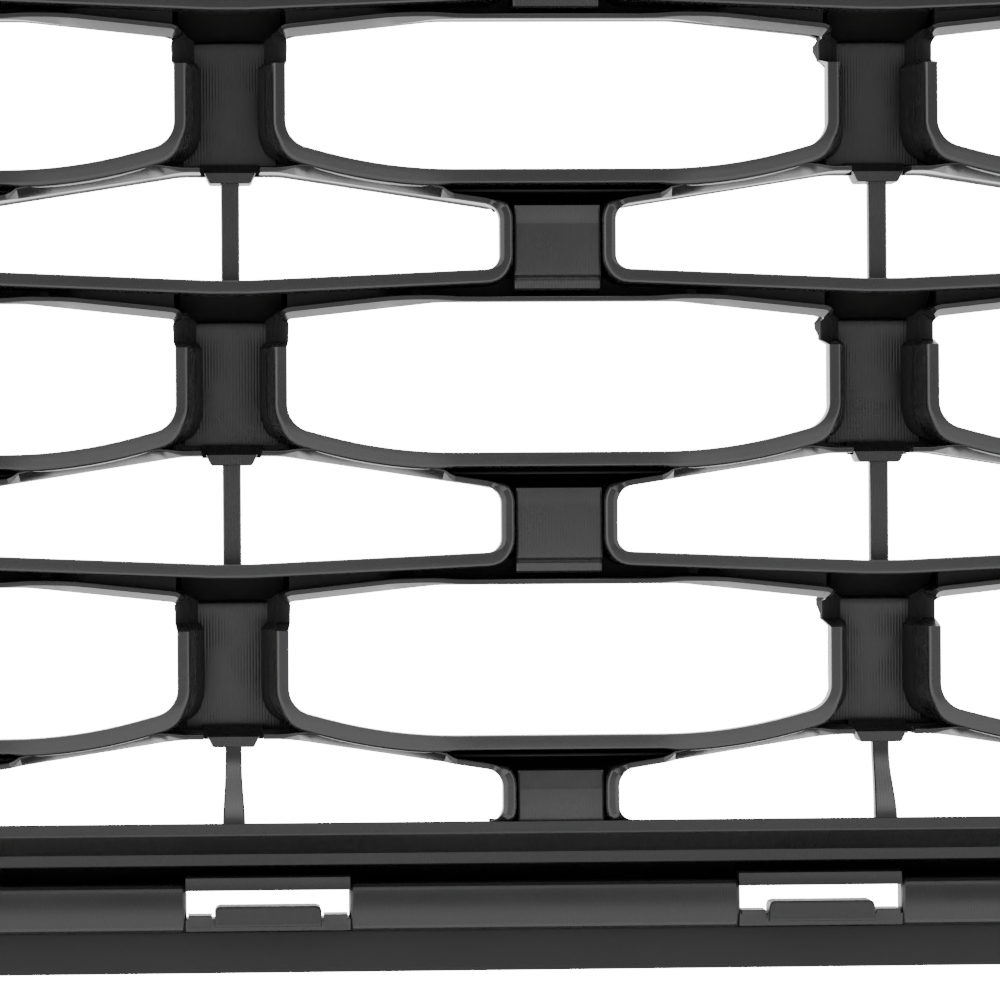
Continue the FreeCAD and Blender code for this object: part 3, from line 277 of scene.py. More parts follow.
def small_outline(height, rise):
    """A small opening about its middle, its top edge's level part at height 0."""
    right = small_corners(height, rise)
    left = [(-x, z, r, n) for x, z, r, n in reversed(right)]
    turn = [0.03, 0.07, 0.12, 0.3, 0.6, 0.78, 0.81, 0.84, 0.87, 0.9, 0.95]
    back = [1 - t for t in reversed(turn)]
    tongue = [0.131, 0.151, 0.33, 0.5, 0.67, 0.849, 0.869]
    return outline(right + left, [turn, 4, 8, 1, 8, 4, back, tongue])


def end_outline(height, rise, side):
    """The half of a small opening that an end wall closes; side is the end's sign."""
    limit = -END_WALL / 2
    right = small_corners(height, rise)
    left = [(-x, z, r, n) for x, z, r, n in reversed(right)]
    path = outline([(limit, -height, 0.4, 3)] + left + [(limit, 0.0, 0.4, 3)], [2, 8, 4, 8, 2, 4])
    if side < 0:
        path = path[::-1] * np.array([-1, 1])
    return path


def ring(path, loops):
    """A section carried round a path; each loop is (offset outward, depth below the lips)."""
    normal = outward(path)
    sheets = []
    for offset, depth in loops:
        offset, depth = np.broadcast_to(offset, len(path)), np.broadcast_to(depth, len(path))
        flat = path + normal * offset[:, None]
        sheets.append(np.stack([flat[:, 0], Y_LIP - depth, flat[:, 1]], 1))
    return np.stack(sheets)


def mixed(weights, rows):
    """Loops whose offset and depth are the weighted mean of one column per kind of edge."""
    total = sum(weights)
    made = []
    for row in rows:
        offset = sum(w * pair[0] for w, pair in zip(weights, row)) / total
        depth = sum(w * pair[1] for w, pair in zip(weights, row)) / total
        made.append((offset, depth))
    return made


def large_ring():
    """Round a large opening: thin edge along the top, notched sides, and a full lip that widens below."""
    path = large_outline()
    normal = outward(path)
    u = np.abs(path[:, 0])
    down = -path[:, 1]
    top = step(normal[:, 1], 0.45, 0.75)
    slope_top = top * step(u, 16, 32)
    flat_top = top - slope_top
    bottom = step(-normal[:, 1], 0.45, 0.9)
    slope_bottom = bottom * step(u, 19, 23)
    flat_bottom = bottom - slope_bottom
    side = 1 - top - bottom
    notch = side * (1 - step(down, 7.25, 7.4)) * 1.0
    side = side - notch
    rounding = []
    for a in (6, 18, 31, 44, 57, 70, 83, 90):
        s, c = math.sin(math.radians(a)), 1 - math.cos(math.radians(a))
        rounding.append(((1.5 + 0.95 * s, 1.1 * c), (1.7 + 0.5 * s, 13.0 + 0.7 * c),
                         (1.85 + 0.25 * s, 1.6 + 0.3 * c), (0.75 + 0.25 * s, 1.6 + 0.3 * c),
                         (2.25 + 1.0 * s, 0.2 + 1.2 * c), (2.25 + 0.4 * s, 0.5 * c)))
    rows = [
        ((3.1, 22.9), (3.1, 22.9), (1.5, 22.9), (1.5, 22.9), (1.5, 22.9), (1.5, 22.9)),
        ((1.4, 13.0), (1.0, 17.0), (0.8, 13.0), (0.8, 13.0), (0.7, 13.0), (0.7, 13.0)),
        ((0.0, 4.6), (-0.45, 14.0), (0.0, 5.2), (0.0, 5.2), (0.0, 4.0), (0.0, 4.0)),
        ((0.0, 0.2), (-0.45, 11.4), (0.03, 5.1), (0.0, 1.8), (0.0, 0.2), (0.0, 0.2)),
        ((0.06, 0.06), (-0.35, 11.0), (1.22, 1.7), (0.06, 1.66), (0.06, 0.06), (0.06, 0.06)),
        ((0.2, 0.0), (-0.1, 11.1), (1.3, 1.6), (0.2, 1.6), (0.2, 0.0), (0.2, 0.0)),
        ((0.9, 0.0), (0.9, 12.0), (1.6, 1.6), (0.5, 1.6), (1.2, 0.05), (1.2, 0.0)),
        ((1.5, 0.0), (1.7, 13.0), (1.85, 1.6), (0.75, 1.6), (2.25, 0.2), (2.25, 0.0)),
    ] + rounding + [
        ((2.55, 3.5), (2.4, 14.5), (2.2, 4.0), (1.1, 4.0), (3.3, 1.6), (2.75, 3.0)),
        ((3.1, 7.0), (2.9, 15.0), (2.3, 8.0), (1.2, 8.0), (3.4, 4.0), (2.85, 7.0)),
        ((4.9, 16.5), (4.2, 17.5), (2.4, 12.0), (1.3, 12.0), (3.5, 12.0), (2.95, 12.0)),
        ((5.1, 22.0), (4.6, 22.0), (2.5, 22.0), (1.5, 22.0), (3.2, 22.0), (3.0, 22.0)),
    ]
    loops = mixed((side, notch, slope_top, flat_top, slope_bottom, flat_bottom), rows)
    corner = (side + notch) * (1 - step(down, 4.5, 8.5))
    for i, less in ((0, 3.2), (1, 1.6)):
        loops[i] = (loops[i][0] - less * corner, loops[i][1])
    return ring(path, loops)


def small_ring(path, low=1.0):
    """Round a small opening: bevelled top edge, full lip with a rounded outer edge elsewhere.
    low narrows the lower lip and sets it back, where the rail's lip takes over."""
    normal = outward(path)
    u = np.abs(path[:, 0])
    top = step(normal[:, 1], 0.5, 0.97)
    slope_top = top * step(u, 8, 14)
    flat_top = top - slope_top
    beyond = slope_top * step(u, 37.5, 40.5)
    slope_top = slope_top - beyond
    tongue = flat_top * (1 - step(u, 5.25, 5.45))
    flat_top = flat_top - tongue
    bottom = step(-normal[:, 1], 0.4, 0.9)
    side = 1 - top - bottom
    rounding = []
    for a in (6, 18, 31, 44, 57, 70, 83, 90):
        s, c = math.sin(math.radians(a)), 1 - math.cos(math.radians(a))
        rounding.append(((1.65 + 0.8 * s, 0.9 * c), (1.95 + 0.15 * s, 0.6 + 0.2 * c),
                         (0.9 + 0.2 * s, 2.0 + 0.2 * c), (0.7 + 0.2 * s, 2.0 + 0.2 * c),
                         (2.0 + 0.55 * s, 0.6 * c), (0.7 + 0.2 * s, 13.0 + 0.2 * c)))
    rows = [
        ((3.0, 22.85), (0.6, 22.85), (0.6, 22.85), (0.6, 22.85), (1.5, 22.85), (0.6, 22.85)),
        ((1.4, 14.0), (0.0, 17.7), (0.0, 17.7), (0.0, 17.7), (0.8, 14.0), (0.0, 17.7)),
        ((0.0, 4.6), (0.0, 5.6), (0.0, 4.4), (0.0, 5.0), (0.0, 4.0), (0.0, 16.0)),
        ((0.0, 0.75), (0.03, 5.5), (0.0, 2.2), (0.0, 2.2), (0.0, 0.2), (0.0, 13.2)),
        ((0.1, 0.5), (1.8, 0.75), (0.06, 2.06), (0.06, 2.06), (0.06, 0.06), (0.06, 13.06)),
        ((0.75, 0.05), (1.88, 0.62), (0.2, 2.0), (0.2, 2.0), (0.2, 0.0), (0.2, 13.0)),
        ((0.9, 0.0), (1.92, 0.6), (0.6, 2.0), (0.4, 2.0), (1.2, 0.0), (0.4, 13.0)),
        ((1.65, 0.0), (1.95, 0.6), (0.9, 2.0), (0.7, 2.0), (2.0, 0.0), (0.7, 13.0)),
    ] + rounding + [
        ((2.5, 2.4), (2.12, 3.0), (1.15, 4.0), (1.0, 4.0), (2.6, 2.5), (1.0, 13.6)),
        ((2.6, 7.0), (2.15, 7.0), (1.2, 7.0), (1.1, 7.0), (2.65, 7.0), (1.1, 14.0)),
        ((2.7, 12.0), (2.2, 12.0), (1.3, 12.0), (1.2, 12.0), (2.7, 12.0), (1.2, 15.0)),
        ((3.0, 22.0), (2.2, 22.0), (1.7, 22.0), (1.4, 22.0), (2.8, 22.0), (1.4, 22.0)),
    ]
    if low < 1:
        lip = [(2.0, 22.85), (1.3, 14.0), (0.3, 5.8)]
        lip += [(offset * low, depth + 3 * (1 - low)) for offset, depth in (row[4] for row in rows[3:-4])]
        lip += [(2.6, 4.5), (2.65, 7.0), (2.7, 12.0), (2.8, 22.0)]
        rows = [row[:4] + (pair, row[5]) for row, pair in zip(rows, lip)]
    return ring(path, mixed((side, slope_top, beyond, flat_top, bottom, tongue), rows))


def edge_height(path, offset, upper):
    """The upper or lower half of an outline, grown by offset, as height over x."""
    grown = path + outward(path) * offset
    middle = (grown[:, 1].max() + grown[:, 1].min()) / 2
    half = grown[grown[:, 1] > middle] if upper else grown[grown[:, 1] < middle]
    half = half[np.argsort(half[:, 0])]
    return lambda x: np.interp(x, half[:, 0], half[:, 1])


LARGE = large_outline()
SMALL = small_outline(SMALL_HEIGHT, SMALL_BOTTOM_SLOPE)
LAST_SMALL = small_outline(LAST_SMALL_HEIGHT, 0.0)


# ---- posts, bars and floors ------------------------------------------------

def sheet(x, low, high, depth, wall, shell, count=5):
    """A plate between two heights given over x, at a depth that may follow x and height."""
    share = np.linspace(0, 1, count)[None, :]
    z = low[:, None] + (high - low)[:, None] * share
    grid_x = x[:, None] + 0 * share
    d = depth(grid_x, z, share + 0 * grid_x)
    face = np.stack([grid_x, Y_LIP - d, z], 2)
    back = np.stack([grid_x, Y_LIP - d - wall, z], 2)
    slab(shell, face, back)


def post_floor(shell, low_x=-8.5, high_x=8.5):
    """Floor of a large post's pocket: crowned across, its upper edge rolled away."""
    x = np.linspace(low_x, high_x, 25)
    top, bottom = -2.9, -LARGE_HEIGHT + 1.6
    z = np.concatenate([top - np.array([0, 0.1, 0.25, 0.45, 0.7]), np.linspace(top - 1.5, bottom, 9)])
    roll = np.array([0.9, 0.45, 0.2, 0.05, 0] + [0] * 9)
    grid_x, grid_z = np.meshgrid(x, z, indexing="ij")
    crown = 0.012 * grid_x ** 2 * (1 - step(-grid_z, 15, 24))
    d = FLOOR_DEPTH - 0.6 - 0.03 * grid_z + crown + roll[None, :]
    face = np.stack([grid_x, Y_LIP - d, grid_z], 2)
    back = face - np.array([0, 2.0, 0])
    slab(shell, face, back)


def pocket_back(shell, half, middle):
    """The steep back of the hollow over a post floor, falling away to the show face."""
    x = middle + np.linspace(-half, half, 5)
    sheet(x, np.full(5, -4.5), np.full(5, 2.2), lambda gx, gz, t: 21.0 - 17.0 * t, 1.5, shell)


def tongue_and_tie(shell, bottom, last):
    """Recess under a post floor, the tongue's lower edge, and the rib across the small opening."""
    x = np.linspace(-5.4, 5.4, 13)
    sheet(x, np.full(13, SMALL_TOP - 0.3), np.full(13, -LARGE_HEIGHT + 1.7),
          lambda gx, gz, t: 11.0 + 3.0 * t, 2.5, shell)
    x = np.linspace(-10.6, 10.6, 13)
    sheet(x, np.full(13, SMALL_TOP + 0.3), np.full(13, -LARGE_HEIGHT + 2.2),
          lambda gx, gz, t: 19.0 + 0 * t, 1.5, shell)
    lip = [(-4.7, 0.25), (-4.5, -0.2), (-3.9, -1.45), (-3.6, -1.7),
           (3.6, -1.7), (3.9, -1.45), (4.5, -0.2), (4.7, 0.25)]
    rings = []
    for y, inset in ((16.0, 0.0), (8.3, 0.0), (7.95, 0.12), (7.85, 0.3)):
        rings.append([(px * (1 - inset * 0.15), Y_LIP - y, SMALL_TOP + pz * (1 - inset * 0.3))
                      for px, pz in lip])
    tube(shell, np.array(rings, float))
    z = np.linspace(SMALL_TOP + 0.3, bottom - 1.2, 14)
    t = np.clip((z[0] - z) / (z[0] - z[-1]), 0, 1)
    half = np.full(14, 1.68)
    lift = 0 * t
    if last:
        half = 1.5 + 0.55 * step(t, 0.3, 1.0)
        lift = (TIE_DEPTH - 1.0) * step(t, 0.15, 0.98)
    section = [(-1, 0.35), (-0.86, 0.0), (0.86, 0.0), (1, 0.35), (1, 3.0), (-1, 3.0)]
    rings = []
    for i in range(14):
        rings.append([(sx * half[i], Y_LIP - (TIE_DEPTH - lift[i] + sd), z[i]) for sx, sd in section])
    tube(shell, np.array(rings, float))


def hollow_post(shell, bottom):
    """The wider box post, open to the rear, used in place of the rib in one row."""
    block(shell, (-5.0, Y_SHOW + 2, bottom - 1.2), (-3.2, Y_LIP - 0.2, SMALL_TOP + 0.6))
    block(shell, (3.2, Y_SHOW + 2, bottom - 1.2), (5.0, Y_LIP - 0.2, SMALL_TOP + 0.6))
    block(shell, (-3.4, Y_SHOW + 1, bottom - 1.2), (3.4, Y_LIP - 16.0, SMALL_TOP + 0.6))


def post_panel(shell, bottom, last):
    """The shallow panel of a small post: sloping upper end, level field, turned-away lower end."""
    high = -LARGE_HEIGHT - 6.3
    low = bottom - 4.0
    z = np.array([high, high - 0.25, high - 2.3, high - 2.9, high - 3.6, bottom + 0.4, bottom - 1.1,
                  bottom - 1.6, bottom - 2.1, bottom - 3.5, bottom - 3.85, low])
    if last:
        z = np.where(z < bottom, bottom + 0.3 * (z - bottom), z)
    d = np.array([4.4, 2.5, 1.9, 1.7, 1.5, 1.5, 1.56, 2.5, 2.9, 3.0, 3.3, 4.4])
    x = np.array([-7.95, -7.9, -7.75, -7.5, -7.1, -3, 0, 3, 7.1, 7.5, 7.75, 7.9, 7.95])
    edge = np.array([2.6, 0.45, 0.17, 0.04, 0, 0, 0, 0, 0, 0.04, 0.17, 0.45, 2.6])
    grid_x, grid_z = np.meshgrid(x, z, indexing="ij")
    depth = d[None, :] + edge[:, None]
    face = np.stack([grid_x, Y_LIP - depth, grid_z], 2)
    back = face.copy()
    back[:, :, 1] = Y_LIP - 8.0
    slab(shell, face, back)


def wedge(shell, large_low, small_high, bottom):
    """The hollow over a small post: a floor darkened by painted shade in its material, with one thin ridge along
    it.
    """
    x = np.linspace(-24, 24, 49)
    high = large_low(x) - 1.5
    low = small_high(PITCH_X / 2 - np.abs(x)) + 0.6
    low = np.where(np.abs(x) < 10.6, -LARGE_HEIGHT - 6.8, low)
    sheet(x, low, high, lambda gx, gz, t: 12.0 + 3.0 * t, 2.0, shell)
    x = np.linspace(-8.6, 8.6, 9)
    sheet(x, np.full(9, bottom - 2.0), np.full(9, -LARGE_HEIGHT - 3.0),
          lambda gx, gz, t: 14.0 + 0 * t, 1.5, shell)
    x = np.linspace(-12.5, 12.5, 9)
    sheet(x, np.full(9, bottom - 3.5), np.full(9, bottom - 0.4), lambda gx, gz, t: 14.0 + 0 * t, 1.5, shell)
    reach = 20.2
    x = np.linspace(-reach, reach, 15)
    middle = large_low(x) - 3.75
    section = [(-0.28, 10.0), (-0.28, 3.7), (-0.2, 3.5), (0.0, 3.42), (0.2, 3.5), (0.28, 3.7), (0.28, 10.0)]
    rings = [[(x[i], Y_LIP - sd, middle[i] + sz) for sz, sd in section] for i in range(15)]
    tube(shell, np.array(rings, float))


def bar_strips(shell, upper, lower, x, depth, wall, crown):
    """A plate that fills a bar from one outline to the other, its face crowned between them."""
    sheet(x, lower, upper, lambda gx, gz, t: depth - crown * (1 - (2 * t - 1) ** 4), wall, shell, 7)


def row_shells(r):
    """Everything of one row about the middle of its middle cell: rings, floors, panels, bars."""
    last = r == ROWS - 1
    small = LAST_SMALL if last else SMALL
    height = LAST_SMALL_HEIGHT if last else SMALL_HEIGHT
    rise = 0.0 if last else SMALL_BOTTOM_SLOPE
    large_low = edge_height(LARGE, 0.0, False)
    small_high = edge_height(small + np.array([0, SMALL_TOP]), 0.0, True)
    side_bottom = SMALL_TOP - height + SMALL_HALF_OPEN * rise
    rings, fill, hollows = Shell(), Shell(), Shell()
    one = Shell()
    torus(one, large_ring())
    other = Shell()
    low = 0.4 if last else 1.0
    torus(other, small_ring(small + np.array([0, SMALL_TOP]), low))
    post, panel = Shell(), Shell()
    post_floor(post)
    if r == HOLLOW_ROW:
        hollow_post(post, SMALL_TOP - height)
    else:
        tongue_and_tie(post, SMALL_TOP - height, last)
    post_panel(panel, side_bottom, last)
    hollow = Shell()
    wedge(hollow, large_low, small_high, side_bottom)
    half = (CELLS - 1) // 2
    for k in range(-half, half + 1):
        rings.merge(one, (k * PITCH_X, 0, 0))
        hollows.merge(hollow, (k * PITCH_X, 0, 0))
        fill.merge(panel, (k * PITCH_X, 0, 0))
    for k in range(-half, half):
        rings.merge(other, ((k + 0.5) * PITCH_X, 0, 0))
        fill.merge(post, ((k + 0.5) * PITCH_X, 0, 0))
        pocket_back(hollows, 9.3, (k + 0.5) * PITCH_X)
    for side in (-1, 1):
        x = side * HALF_LATTICE
        end = Shell()
        torus(end, small_ring(end_outline(height, rise, side) + np.array([0, SMALL_TOP]), low))
        span = (-8.5, -END_WALL / 2) if side > 0 else (END_WALL / 2, 8.5)
        post_floor(end, *span)
        rings.merge(end, (x, 0, 0))
    return rings, fill, hollows


def front_face(r):
    """The show face of one row: bars between the openings and the posts beside them."""
    shell = Shell()
    last = r == ROWS - 1
    small = (LAST_SMALL if last else SMALL) + np.array([0, SMALL_TOP])
    previous = SMALL + np.array([0, SMALL_TOP + PITCH_Z])
    grow = 1.5
    large_low = edge_height(LARGE, grow, False)
    large_high = edge_height(LARGE, grow, True)
    small_high = edge_height(small, grow, True)
    before_low = edge_height(previous, grow, False)
    edge = POST / 2 - 3.0
    half_span = PITCH_X / 2
    large_end, small_end = HALF_OPEN - 1.2, SMALL_HALF_OPEN - 1.2
    depth, wall, crown = 21.6, 2.0, 1.3
    width = (CELLS - 1) // 2
    for k in range(-width, width + 1):
        part = Shell()
        both = np.linspace(edge, half_span - edge, 25)
        for sign in (-1, 1):
            x = np.sort(sign * both)
            over_large = np.clip(x, -large_end, large_end)
            over_small = np.minimum(half_span - np.abs(x), small_end)
            upper, lower = large_low(over_large), small_high(over_small)
            bar_strips(part, upper, lower, x, depth, wall, crown)
            if r:
                upper, lower = before_low(over_small), large_high(over_large)
                bar_strips(part, upper, lower, x, depth, wall, crown)
        x = np.linspace(-7.8, 7.8, 9)
        low = np.full(9, SMALL_TOP - LAST_SMALL_HEIGHT - 2 if last else grow - PITCH_Z)
        bar_strips(part, large_low(x), low, x, depth, wall, crown)
        shell.merge(part, (k * PITCH_X, 0, 0))
    for k in range(-width - 1, width + 1):
        low_x = -edge if k >= -width else END_WALL / 2
        high_x = edge if k < width else -END_WALL / 2
        x = np.linspace(low_x, high_x, 9)
        part = Shell()
        lower = small_high(x)
        upper = before_low(x) if r else np.full(9, 6.0)
        bar_strips(part, upper, lower, x, depth, wall, crown)
        shell.merge(part, ((k + 0.5) * PITCH_X, 0, 0))
    return shell


def valleys():
    """The shaded channel between a small opening's lower lip and the next large opening's edge."""
    shell = Shell()
    previous = SMALL + np.array([0, SMALL_TOP + PITCH_Z])
    below = edge_height(previous, 0.0, False)
    above = edge_height(LARGE, 0.0, True)
    x = np.linspace(-HALF_OPEN + 0.2, HALF_OPEN - 0.2, 61)
    upper = below(np.clip(PITCH_X / 2 - np.abs(x), 0, SMALL_HALF_OPEN - 3)) - 1.2
    lower = above(x) + 0.7
    width = (CELLS - 1) // 2
    one = Shell()
    sheet(x, lower, np.maximum(upper, lower + 0.5),
          lambda gx, gz, t: 13.0 - 8.0 * step(t, 0.1, 0.3) * step(np.abs(gx), 24, 34), 3.0, one, 11)
    for k in range(-width, width + 1):
        shell.merge(one, (k * PITCH_X, 0, 0))
    return shell


# ---- lower rail ------------------------------------------------------------

RAIL_LIP, RAIL_SLOPE, RAIL_SHELF, RAIL_GROOVE, RAIL_PANEL = 1.8, 3.5, 1.8, 2.9, 8.6
SHELF_DEPTH, GROOVE_DEPTH, PANEL_DEPTH, CROWN, FLANGE_DEPTH, RAIL_WALL = 8.0, 12.0, 5.0, 0.8, 7.0, 2.3
SLOT_HALF, SLOT_HEIGHT, SLOT_DROP = 14.8, 4.4, 1.0
HOOK_HALF, HOOK_HEIGHT, HOOK_RISE, HOOK_STAND = 9.7, 3.7, 1.7, 2.5
Z_LIP = Z_RAIL + LIP_RISE
Z_SHELF = Z_RAIL - RAIL_LIP - RAIL_SLOPE
Z_GROOVE = Z_SHELF - RAIL_SHELF
Z_PANEL = Z_GROOVE - RAIL_GROOVE
Z_FLANGE = Z_PANEL - RAIL_PANEL


def along_x(shell, section, x):
    """A closed section of (height, depth) pairs carried along X."""
    grid = [[(at, Y_LIP - d, z) for z, d in section] for at in x]
    tube(shell, np.array(grid, float))


def crowned(z):
    """Depth of the slotted panel's face at a height: a shallow barrel."""
    t = (Z_PANEL - z) / RAIL_PANEL
    return PANEL_DEPTH - CROWN * (1 - (2 * t - 1) ** 2)


def rail_shell():
    """The rail under the last row, its slotted panel and hooks; and the flange below it."""
    shell, below = Shell(), Shell()
    x = np.linspace(-HALF_INSERT, HALF_INSERT, 41)
    upper = [
        (Z_RAIL - 0.2, DEPTH - 0.1), (Z_LIP, 0.25), (Z_LIP - 0.07, 0.07), (Z_LIP - 0.25, 0.0),
        (Z_LIP - 1.9, 0.0), (Z_LIP - 2.15, 0.1), (Z_LIP - 2.35, 0.4), (Z_LIP - 2.7, 1.3),
        (Z_SHELF + 1.9, 6.0), (Z_SHELF + 1.0, 7.7), (Z_SHELF + 0.75, SHELF_DEPTH),
        (Z_GROOVE + 0.55, SHELF_DEPTH + 0.05), (Z_GROOVE + 0.3, SHELF_DEPTH + 0.35),
        (Z_GROOVE + 0.1, GROOVE_DEPTH), (Z_PANEL - 1.0, GROOVE_DEPTH + 7.0),
        (Z_PANEL - 1.0, GROOVE_DEPTH + 8.5), (Z_GROOVE + 1.2, GROOVE_DEPTH + 1.5),
        (Z_SHELF + 1.0, 12.0), (Z_RAIL - 2.2, 5.0), (Z_RAIL - 2.4, DEPTH - 0.1),
    ]
    along_x(shell, upper, x)
    slots = [n * SLOT_PITCH for n in range(-SLOTS_EACH_SIDE, SLOTS_EACH_SIDE + 1)]
    top_cut, low_cut = Z_PANEL - SLOT_DROP, Z_PANEL - SLOT_DROP - SLOT_HEIGHT

    def strip(high, low, ends, roll_high, roll_low, inner=10.0):
        """A run of the crowned panel between two heights, its upper and lower edges rolled back."""
        z = np.linspace(high, low, 13)
        d = crowned(z)
        section = [(high, inner), (high, d[0] + roll_high), (high - 0.08, d[0] + roll_high * 0.35)]
        section += [(z[i], d[i]) for i in range(1, 12)]
        section += [(low + 0.08, d[-1] + roll_low * 0.35), (low, d[-1] + roll_low), (low, inner)]
        along_x(shell, section, ends)

    def pad(x0, x1):
        """A stretch of the panel between two slots, its ends rolled inward."""
        z = np.linspace(Z_PANEL, Z_FLANGE, 17)
        roll = [(0.0, 4.5, 0.9), (0.06, 0.9, 0.5), (0.3, 0.35, 0.2), (0.7, 0.08, 0.05), (1.2, 0.0, 0.0)]
        ends = [(x0 + a, b, c) for a, b, c in roll] + [((x0 + x1) / 2, 0, 0)]
        ends += [(x1 - a, b, c) for a, b, c in reversed(roll)]
        grid = []
        for at, sink, tuck in ends:
            zz = Z_PANEL - tuck + (z - Z_PANEL) * (1 - 2 * tuck / RAIL_PANEL)
            d = np.minimum(crowned(zz) + sink, 9.5)
            edge = np.array([0.9, 0.25, 0.05] + [0] * 11 + [0.05, 0.3, 1.4])
            face = [(at, Y_LIP - min(d[i] + edge[i], 9.6), zz[i]) for i in range(17)]
            grid.append([(at, Y_LIP - 10.0, zz[0])] + face + [(at, Y_LIP - 10.0, zz[-1])])
        tube(shell, np.array(grid, float))

    bounds = [-HALF_INSERT] + [v for s in slots for v in (s - SLOT_HALF, s + SLOT_HALF)] + [HALF_INSERT]
    for i in range(0, len(bounds), 2):
        pad(bounds[i], bounds[i + 1])
    for s in slots:
        strip(Z_PANEL + 1.5, top_cut, [s - SLOT_HALF - 0.2, s + SLOT_HALF + 0.2], 0.5, 0.3)
        hook = np.array([s - HOOK_HALF, s + HOOK_HALF])
        for a, b in ((s - SLOT_HALF + 0.25, hook[0] - 0.5), (hook[1] + 0.5, s + SLOT_HALF - 0.25)):
            strip(low_cut, Z_FLANGE + 0.1, [a, b], 0.3, 0.6)
        strip(low_cut - 0.6, Z_FLANGE + 0.1, [s - SLOT_HALF - 0.2, s + SLOT_HALF + 0.2], 1.6, 1.2)
        corner = 0.9
        shape = [(-HOOK_HALF, -HOOK_HEIGHT), (-HOOK_HALF, -corner), (-HOOK_HALF + 0.27, -0.27),
                 (-HOOK_HALF + corner, 0), (HOOK_HALF - corner, 0), (HOOK_HALF - 0.27, -0.27),
                 (HOOK_HALF, -corner), (HOOK_HALF, -HOOK_HEIGHT)]
        z_hook = low_cut + HOOK_RISE
        rings = []
        for y, inset in ((9.0, 0.0), (PANEL_DEPTH - HOOK_STAND + 0.35, 0.0), (PANEL_DEPTH - HOOK_STAND + 0.08, 0.1),
                         (PANEL_DEPTH - HOOK_STAND, 0.35)):
            keep = 1 - inset / HOOK_HALF
            rings.append([(s + px * keep, Y_LIP - y, z_hook - HOOK_HEIGHT / 2
                           + (pz + HOOK_HEIGHT / 2) * (1 - 2 * inset / HOOK_HEIGHT)) for px, pz in shape])
        tube(shell, np.array(rings, float))
    flange = [
        (Z_FLANGE + 0.8, 9.4), (Z_FLANGE + 0.3, 7.4), (Z_FLANGE - 0.1, FLANGE_DEPTH + 0.05),
        (Z_FLANGE - 0.5, FLANGE_DEPTH), (Z_BOTTOM + 0.3, FLANGE_DEPTH), (Z_BOTTOM + 0.08, FLANGE_DEPTH + 0.08),
        (Z_BOTTOM, FLANGE_DEPTH + 0.3), (Z_BOTTOM, FLANGE_DEPTH + RAIL_WALL), (Z_FLANGE + 0.8, 9.5),
    ]
    along_x(below, flange, x)
    back = [(Z_PANEL - 0.35, 6.0), (Z_PANEL - 0.35, GROOVE_DEPTH + 8.0), (Z_PANEL - 1.0, GROOVE_DEPTH + 8.0),
            (Z_PANEL - 1.0, 6.5)]
    along_x(shell, back, x)
    for side in (-1, 1):
        spot = (side * (HALF_INSERT - END_FLANGE / 2), Y_LIP - PANEL_DEPTH, (Z_PANEL + Z_FLANGE) / 2)
        rod(shell, spot, "Y", [(0.01, -1), (5, -1), (5, 7.3), (3.4, 7.3), (3.4, 7.9), (4, 7.9), (4, 19.2),
                               (3.4, 20), (0.01, 20)])
    return shell, below


# ---- top edge and ends -----------------------------------------------------

def top_shell():
    """The band over the first openings, the shelf along the top, screw bosses and end walls."""
    shell = Shell()
    x = np.linspace(-HALF_INSERT, HALF_INSERT, 41)
    band = [(Z_TOP - 0.3, Y_LIP - Y_SHOW), (Z_TOP, DEPTH - 0.3), (Z_TOP, DEPTH - 14.8), (Z_TOP - 0.2, DEPTH - 15.0),
            (Z_TOP - 2.3, DEPTH - 15.0), (Z_TOP - 2.5, DEPTH - 14.8), (Z_TOP - 2.5, DEPTH - 2.5),
            (Z_TOP - TOP_RAIL + 2.0, DEPTH - 2.5), (Z_TOP - TOP_RAIL + 2.0, DEPTH)]
    along_x(shell, band, x)
    lattice_low = Z_TOP - TOP_RAIL
    high = edge_height(LARGE, 1.5, True)
    for k in range(-(CELLS - 1) // 2, (CELLS - 1) // 2 + 1):
        x = np.linspace(-HALF_OPEN - 2, HALF_OPEN + 2, 33)
        lower = high(np.clip(x, -HALF_OPEN - 1, HALF_OPEN + 1))
        part = Shell()
        sheet(x, lower, np.full(33, 3.0), lambda gx, gz, t: 20.6 + 0 * t, 2.35, part)
        shell.merge(part, (k * PITCH_X, 0, lattice_low))
    for side in (-1, 1):
        inner = HALF_LATTICE - END_WALL / 2
        x0, x1 = sorted((side * inner, side * (inner + END_WALL)))
        block(shell, (x0, Y_SHOW + 0.5, Z_RAIL - RAIL_LIP), (x1, Y_LIP, lattice_low + 1.2))
        x0, x1 = sorted((side * (inner + 1), side * HALF_INSERT))
        block(shell, (x0, Y_SHOW, Z_RAIL - RAIL_LIP), (x1, Y_SHOW + 2.5, Z_TOP - TOP_RAIL + 4))
    for k in range(-3, 3):
        x = (k + 0.5) * 160.0
        pin = [(0.01, 0), (4.2, 0), (4.5, 0.4), (4.5, 12.0), (0.01, 12.0)]
        rod(shell, (x, Y_SHOW + 8.0, -13.5), "Z", pin)
        block(shell, (x - 1, Y_SHOW + 1, -13.5), (x + 1, Y_SHOW + 8, -2))
    return shell


# ---- finishes --------------------------------------------------------------

